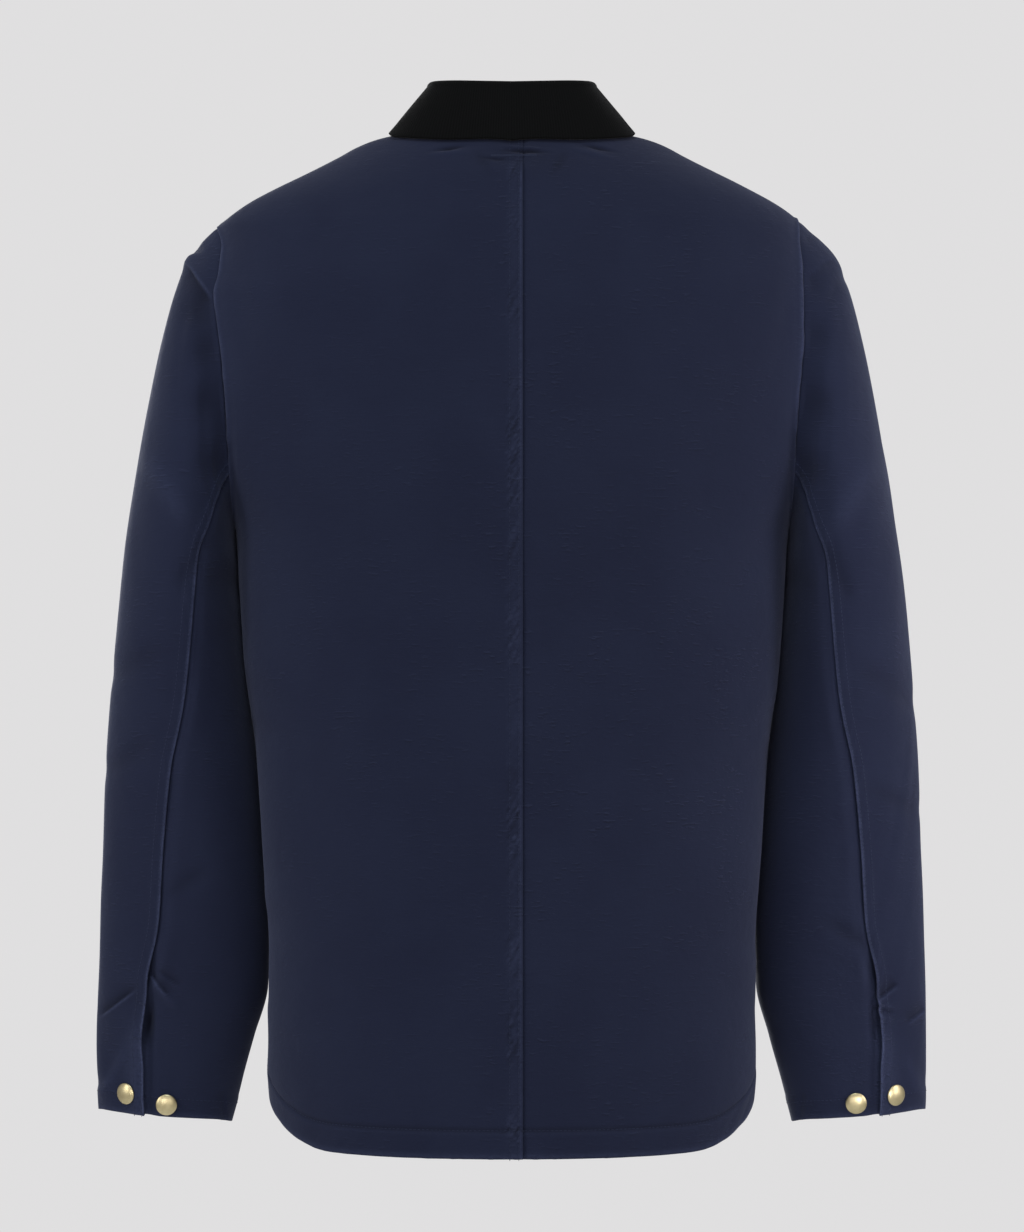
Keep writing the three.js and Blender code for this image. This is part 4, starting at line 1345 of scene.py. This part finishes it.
SNAP_PROFILE = table(
    "out up",
    (0.0, -0.2),
    (6.6, -0.2),
    (7.55, 0.0),
    (8.0, 0.45),
    (8.0, 0.95),
    (7.75, 1.3),
    (7.3, 1.55),
    (6.4, 2.05),
    (5.0, 2.55),
    (3.2, 2.95),
    (1.5, 3.12),
    (0.0, 3.15),
)
SNAP_SIDES = 56


def nearest_seat(cloth, place):
    """The cloth's outer point and normal nearest to a place in plan view from the back or front."""
    outer = cloth["outer"]
    off = outer - place
    gap = np.hypot(off[..., 0], off[..., 2]) + np.abs(off[..., 1]) * 0.5
    i, j = np.unravel_index(np.argmin(gap), gap.shape)
    i = int(np.clip(i, 2, outer.shape[0] - 3))
    j = int(np.clip(j, 2, outer.shape[1] - 3))
    normal = cloth["normal"][i - 2 : i + 3, j - 2 : j + 3].mean(axis=(0, 1))
    return outer[i, j], normal / np.linalg.norm(normal)


def snap(node, cloth):
    low, high = (np.array(corner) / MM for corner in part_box(node))
    seat, normal = nearest_seat(cloth, (low + high) / 2)
    side_way = np.cross(normal, [0, 0, 1.0])
    side_way /= np.linalg.norm(side_way)
    up_way = np.cross(side_way, normal)
    turns = np.arange(SNAP_SIDES) * 2 * math.pi / SNAP_SIDES
    ring = np.cos(turns)[:, None] * side_way + np.sin(turns)[:, None] * up_way
    centre = (low + high) / 2
    centre = centre - normal * np.dot(centre - seat, normal) + normal * 0.35
    profile = list(zip(SNAP_PROFILE["out"], SNAP_PROFILE["up"]))
    foot = centre + normal * profile[0][1]
    top = centre + normal * profile[-1][1]
    rings = [centre + ring * out + normal * up for out, up in profile[1:-1]]
    verts = [foot, *np.concatenate(rings), top]
    faces = []
    for k in range(SNAP_SIDES):
        here = [1 + level * SNAP_SIDES + k for level in range(len(rings))]
        there = [1 + level * SNAP_SIDES + (k + 1) % SNAP_SIDES for level in range(len(rings))]
        faces.append((0, there[0], here[0]))
        faces += zip(here, there, there[1:], here[1:])
        faces.append((here[-1], there[-1], len(verts) - 1))
    mesh = bpy.data.meshes.new(f"{node}_cap")
    mesh.from_pydata([tuple(place * MM) for place in verts], [], faces)
    mesh.polygons.foreach_set("use_smooth", np.ones(len(mesh.polygons), bool))
    mesh.materials.append(MATERIALS["brass"])
    mesh.update()
    return add_piece(f"{node}_cap", mesh, node)


for side in (1, -1):
    for name in ("upper", "under"):
        snap(f"cuff_snap_{side_name(side)}_{name}", sleeves[side, name])
for number in range(1, 6):
    snap(f"front_snap_{number}", panels[1, -1])


# Stitching

STITCH_LIFT = 0.10
STITCH_SIZES = {"Pitch": 3.1 * MM, "Stitch length": 2.3 * MM, "Thread width": 0.55 * MM}
BAR_SIZES = {"Pitch": 1.3 * MM, "Thread width": 0.85 * MM}
TACK_SIZES = {"Pitch": 1.2 * MM, "Thread width": 0.75 * MM}
SLIT_TACKS = {
    1: [((277.5, -644.2), (272.8, -645)), ((283.5, -670), (274.6, -671.4))],
    -1: [((-277.5, -646), (-273, -645)), ((-283, -671), (-275, -672))],
}


def level_row(part, key, value):
    """The line on a panel where one of its distances has a value, a point in each row that has it."""
    distance = part[key]
    path = []
    for i in range(distance.shape[0]):
        row = distance[i]
        order = np.argsort(row)
        if row[order[0]] > value or row[order[-1]] < value:
            continue
        point = [np.interp(value, row[order], part["outer"][i, order, axis]) for axis in range(3)]
        lift = [np.interp(value, row[order], part["normal"][i, order, axis]) for axis in range(3)]
        path.append(np.array(point) + np.array(lift) * STITCH_LIFT)
    return np.array(path)


def column_row(part, key, value):
    """The same line, a point in each column."""
    turned = {
        key: part[key].T,
        "outer": part["outer"].transpose(1, 0, 2),
        "normal": part["normal"].transpose(1, 0, 2),
    }
    return level_row(turned, key, value)


def cloth_at(part, x, z):
    """The cloth's place and outward direction at a place seen from the back, or nothing off the piece."""
    sheet = np.concatenate([part["outer"], part["normal"]], -1)
    crossed = []
    for column in range(sheet.shape[1]):
        line = sheet[::-1, column]
        if line[0, 2] <= z <= line[-1, 2] and sheet[:, column, 4].mean() > 0:
            crossed.append([np.interp(z, line[:, 2], line[:, axis]) for axis in range(6)])
    level = np.array(sorted(crossed)) if crossed else np.zeros((1, 6))
    if not level[0, 0] <= x <= level[-1, 0]:
        return None
    return np.array([np.interp(x, level[:, 0], level[:, axis]) for axis in range(6)])


def surface_line(parts, start, end):
    """Points on the cloth along a straight line seen from the back."""
    path = []
    for t in np.linspace(0, 1, 2 + int(math.dist(start, end) / 2)):
        x = start[0] + (end[0] - start[0]) * t
        z = start[1] + (end[1] - start[1]) * t
        found = [at for at in (cloth_at(part, x, z) for part in parts) if at is not None]
        if found:
            path.append(found[0][:3] + found[0][3:] * STITCH_LIFT)
    return np.array(path)


def pocket_row(part, inset):
    """A line on a pocket down one side, along its foot and up the other, at a distance in from its edge."""
    outer = part["outer"]
    across = lengths(outer, 1)
    down = lengths(outer, 0)
    left = np.argmin(np.abs(across - inset), axis=1)
    right = np.argmin(np.abs(across[:, -1:] - across - inset), axis=1)
    foot = np.argmin(np.abs(down[-1:] - down - inset), axis=0)
    cells = [(i, left[i]) for i in range(1, foot[0])]
    cells += [(foot[j], j) for j in range(left[foot[0]], right[foot[-1]])]
    cells += [(i, right[i]) for i in range(foot[-1], 0, -1)]
    return np.array([outer[cell] + part["normal"][cell] * STITCH_LIFT for cell in cells])


def stitch_tree():
    """Geometry nodes that lay one stitch after another along every path."""
    tree = bpy.data.node_groups.new("stitches", "GeometryNodeTree")
    tree.interface.new_socket("Paths", in_out="INPUT", socket_type="NodeSocketGeometry")
    for name, size in STITCH_SIZES.items():
        socket = tree.interface.new_socket(name, in_out="INPUT", socket_type="NodeSocketFloat")
        socket.default_value = size
    tree.interface.new_socket("Thread", in_out="INPUT", socket_type="NodeSocketMaterial")
    tree.interface.new_socket("Stitches", in_out="OUTPUT", socket_type="NodeSocketGeometry")
    inlet = tree.nodes.new("NodeGroupInput")
    given = {socket.name: Value(tree, socket) for socket in inlet.outputs}
    width = given["Thread width"]
    curve = add_node(tree, "GeometryNodeMeshToCurve", Mesh=given["Paths"])
    by_length = {"mode": "LENGTH"}
    points = add_node(tree, "GeometryNodeCurveToPoints", by_length, Curve=curve, Length=given["Pitch"])
    turn = Value(tree, points.socket.node.outputs["Rotation"])
    bead = add_node(tree, "GeometryNodeMeshUVSphere", Segments=5, Rings=4, Radius=0.5)
    size = add_node(tree, "ShaderNodeCombineXYZ", X=width, Y=width, Z=given["Stitch length"])
    jitter = tree.nodes.new("FunctionNodeRandomValue")
    jitter.inputs[2].default_value = 0.86
    jitter.inputs[3].default_value = 1.08
    jitter.inputs["Seed"].default_value = 4
    share = Value(tree, jitter.outputs[1])
    scaled = add_node(tree, "ShaderNodeVectorMath", {"operation": "SCALE"}, Vector=size, Scale=share)
    laid = add_node(
        tree, "GeometryNodeInstanceOnPoints", Points=points, Instance=bead, Rotation=turn, Scale=scaled
    )
    real = add_node(tree, "GeometryNodeRealizeInstances", Geometry=laid)
    smooth = add_node(tree, "GeometryNodeSetShadeSmooth", Geometry=real)
    coloured = add_node(tree, "GeometryNodeSetMaterial", Geometry=smooth, Material=given["Thread"])
    feed(tree.nodes.new("NodeGroupOutput").inputs["Stitches"], coloured)
    return tree


STITCHES = stitch_tree()


def sew(name, paths, **sizes):
    """Stitches along paths, as one plain mesh."""
    verts = np.concatenate(paths) * MM
    edges = []
    start = 0
    for path in paths:
        edges.extend((start + k, start + k + 1) for k in range(len(path) - 1))
        start += len(path)
    guide = bpy.data.meshes.new(f"{name}_paths")
    guide.from_pydata([tuple(v) for v in verts], edges, [])
    holder = bpy.data.objects.new(f"{name}_paths", guide)
    bpy.context.scene.collection.objects.link(holder)
    modifier = holder.modifiers.new("stitches", "NODES")
    modifier.node_group = STITCHES
    sizes["Thread"] = THREAD
    for item in STITCHES.interface.items_tree:
        if item.in_out == "INPUT" and item.name in sizes:
            modifier[item.identifier] = sizes[item.name]
    holder.update_tag()
    bpy.context.view_layer.update()
    evaluated = holder.evaluated_get(bpy.context.evaluated_depsgraph_get())
    mesh = bpy.data.meshes.new_from_object(evaluated)
    bpy.data.objects.remove(holder)
    mesh.materials.clear()
    mesh.materials.append(THREAD)
    return add_piece(name, mesh)


back_left = panels[1, 1]
back_right = panels[-1, 1]
front_left = panels[1, -1]
back_left["fell"] = back_left["outer"][..., 0] - CENTRE_SEAM_X
front_left["lap"] = front_left["outer"][..., 0] + FRONT_LAP


def slit_tacks(side):
    """Short double bars of stitches at the top and middle of a cuff's slit."""
    parts = (sleeves[side, "upper"],)
    for (x0, z0), (x1, z1) in SLIT_TACKS[side]:
        for lift in (-0.5, 0.5):
            yield surface_line(parts, (x0, z0 + lift), (x1, z1 + lift))


for side in (1, -1):
    back = panels[side, 1]
    hem_row = column_row(back, "hem", HEM_DEPTH + 1.2)
    rows = [hem_row]
    if side > 0:
        rows += [level_row(back, "fell", inset) for inset in (INNER_ROW, OUTER_ROW)]
    back["trim"] = [sew(f"back_{side_name(side)}_stitches", rows)]
    front = panels[side, -1]
    rows = [column_row(front, "hem", HEM_DEPTH + 1.2), level_row(front, "edge", 2.2)]
    if side > 0:
        rows += [level_row(front, "lap", 2.5), level_row(front, "lap", 2 * FRONT_LAP)]
    front["trim"] = [sew(f"front_{side_name(side)}_stitches", rows)]
    upper = sleeves[side, "upper"]
    rows = [level_row(upper, "seam", inset) for inset in UPPER_ROWS] + [column_row(upper, "left", CUFF_ROW)]
    tacks = sew(f"slit_{side_name(side)}_tacks", list(slit_tacks(side)), **TACK_SIZES)
    upper["trim"] = [sew(f"sleeve_{side_name(side)}_upper_stitches", rows), tacks]
    under = sleeves[side, "under"]
    under["trim"] = [sew(f"sleeve_{side_name(side)}_under_stitches", [column_row(under, "left", CUFF_ROW)])]
    bag = pockets[side]
    bag["top"] = lengths(bag["outer"], 0)
    rows = [pocket_row(bag, inset) for inset in POCKET_ROWS] + [column_row(bag, "top", POCKET_HEM)]
    bag["trim"] = [sew(f"pocket_{side_name(side)}_stitches", rows)]
bar = [surface_line((back_left, back_right), (14.5, z), (-17.4, z)) for z in (-20.7, -21.5)]
back_left["trim"].append(sew("neck_bar_stitches", bar, **BAR_SIZES))

# The width, length and area of each sheet's cut, worked out and not used further


def declare_sheet(part):
    outer = part["outer"] * MM
    wide = np.linalg.norm(np.diff(outer, axis=1), axis=-1).sum(axis=1).max()
    long = np.linalg.norm(np.diff(outer, axis=0), axis=-1).sum(axis=0).max()
    one = np.cross(outer[1:, 1:] - outer[:-1, :-1], outer[1:, :-1] - outer[:-1, 1:])
    area = np.linalg.norm(one, axis=-1).sum() / 2
    area = min(area, wide * long)


declare_sheet(collar_parts)
for side in (1, -1):
    for facing in (1, -1):
        declare_sheet(panels[side, facing])
    declare_sheet(sleeves[side, "upper"])
    declare_sheet(sleeves[side, "under"])
    declare_sheet(pockets[side])

# Stage: a pale floor below, soft light and the camera at the picture's angle

BACKGROUND = 0.745
ROOM_LIGHT = (0.42, 0.42, 0.43)
FLOOR_Z = -1.5
FLOOR_RADIUS = 3.2
CAMERA_DISTANCE = 3.0
CAMERA_Z = -0.355
PICTURE_HEIGHT_MM = 919.8
SENSOR = 36.0


def floor():
    bpy.ops.mesh.primitive_circle_add(vertices=96, radius=FLOOR_RADIUS, fill_type="NGON", location=(0, 0, 0))
    disc = bpy.context.object
    disc.name = "studio_floor"
    disc.data.transform(Matrix.Translation((0, 0, FLOOR_Z)))
    paint = Finish("pale_floor")
    reach = paint.node("ShaderNodeVectorMath", {"operation": "LENGTH"}, "Value", Vector=paint.object_place())
    fade = 1 - reach.between(1.6, FLOOR_RADIUS * 0.97)
    paint.set(Base_Color=(0.74, 0.74, 0.74, 1), Roughness=0.9, Alpha=fade)
    disc.data.materials.append(paint.material)


def lamp(name, place, target, size, power, colour=(1, 1, 1), spread=180):
    light = bpy.data.lights.new(name, "AREA")
    light.shape = "RECTANGLE"
    light.size, light.size_y = size
    light.energy = power
    light.color = colour
    light.spread = math.radians(spread)
    holder = bpy.data.objects.new(name, light)
    bpy.context.scene.collection.objects.link(holder)
    holder.location = place
    holder.rotation_euler = (Vector(target) - Vector(place)).to_track_quat("-Z", "Y").to_euler()
    return holder


def world():
    """Even light all round, behind a pale backdrop that only the camera sees."""
    sky = bpy.data.worlds.new("studio")
    bpy.context.scene.world = sky
    sky.use_nodes = True
    tree = sky.node_tree
    shown = tree.nodes["Background"]
    shown.inputs["Color"].default_value = (BACKGROUND, BACKGROUND * 0.992, BACKGROUND, 1)
    around = add_node(tree, "ShaderNodeBackground", Color=(*ROOM_LIGHT, 1))
    seen = add_node(tree, "ShaderNodeLightPath", output="Is Camera Ray")
    choice = tree.nodes.new("ShaderNodeMixShader")
    for slot, value in zip(choice.inputs, (seen, around, Value(tree, shown.outputs[0]))):
        feed(slot, value)
    tree.links.new(choice.outputs[0], tree.nodes["World Output"].inputs["Surface"])


def camera():
    view = bpy.data.cameras.new("picture")
    view.sensor_width = SENSOR
    view.lens = SENSOR * CAMERA_DISTANCE * 1000 / PICTURE_HEIGHT_MM
    view.clip_end = 50
    holder = bpy.data.objects.new("picture", view)
    bpy.context.scene.collection.objects.link(holder)
    holder.location = (0, CAMERA_DISTANCE, CAMERA_Z)
    holder.rotation_euler = (math.pi / 2, 0, math.pi)
    bpy.context.scene.camera = holder


floor()
world()
camera()
lamp("overhead", (0.3, 1.5, 2.3), (0, 0, -0.3), (1.1, 0.8), 32, (0.80, 0.93, 1.0))
lamp("side_left", (2.2, 1.3, 0.1), (0.2, 0, -0.35), (0.6, 1.8), 20)
lamp("side_right", (-2.2, 1.2, 0.1), (-0.25, 0, -0.35), (0.6, 1.8), 6)
lamp("near_right", (-0.78, 0.28, -0.36), (-0.3, 0.0, -0.40), (0.25, 0.8), 2.3, (1.0, 0.95, 0.97))
lamp("sleeve_right", (-0.52, 0.78, -0.46), (-0.28, 0, -0.46), (0.15, 0.8), 0.21, (1.0, 0.97, 0.98), 28)
lamp("sleeve_left", (0.52, 0.78, -0.40), (0.26, 0, -0.40), (0.15, 0.7), 0.085, (0.97, 0.97, 1.0), 28)
lamp("camera_fill", (0.0, 3.6, -0.6), (0, 0, -0.4), (3.2, 2.0), 28, (1.0, 0.96, 0.96))
lamp("front_fill", (0.8, -2.5, -0.1), (0, 0, -0.35), (1.0, 1.4), 52)
bpy.context.scene.view_settings.view_transform = "Standard"
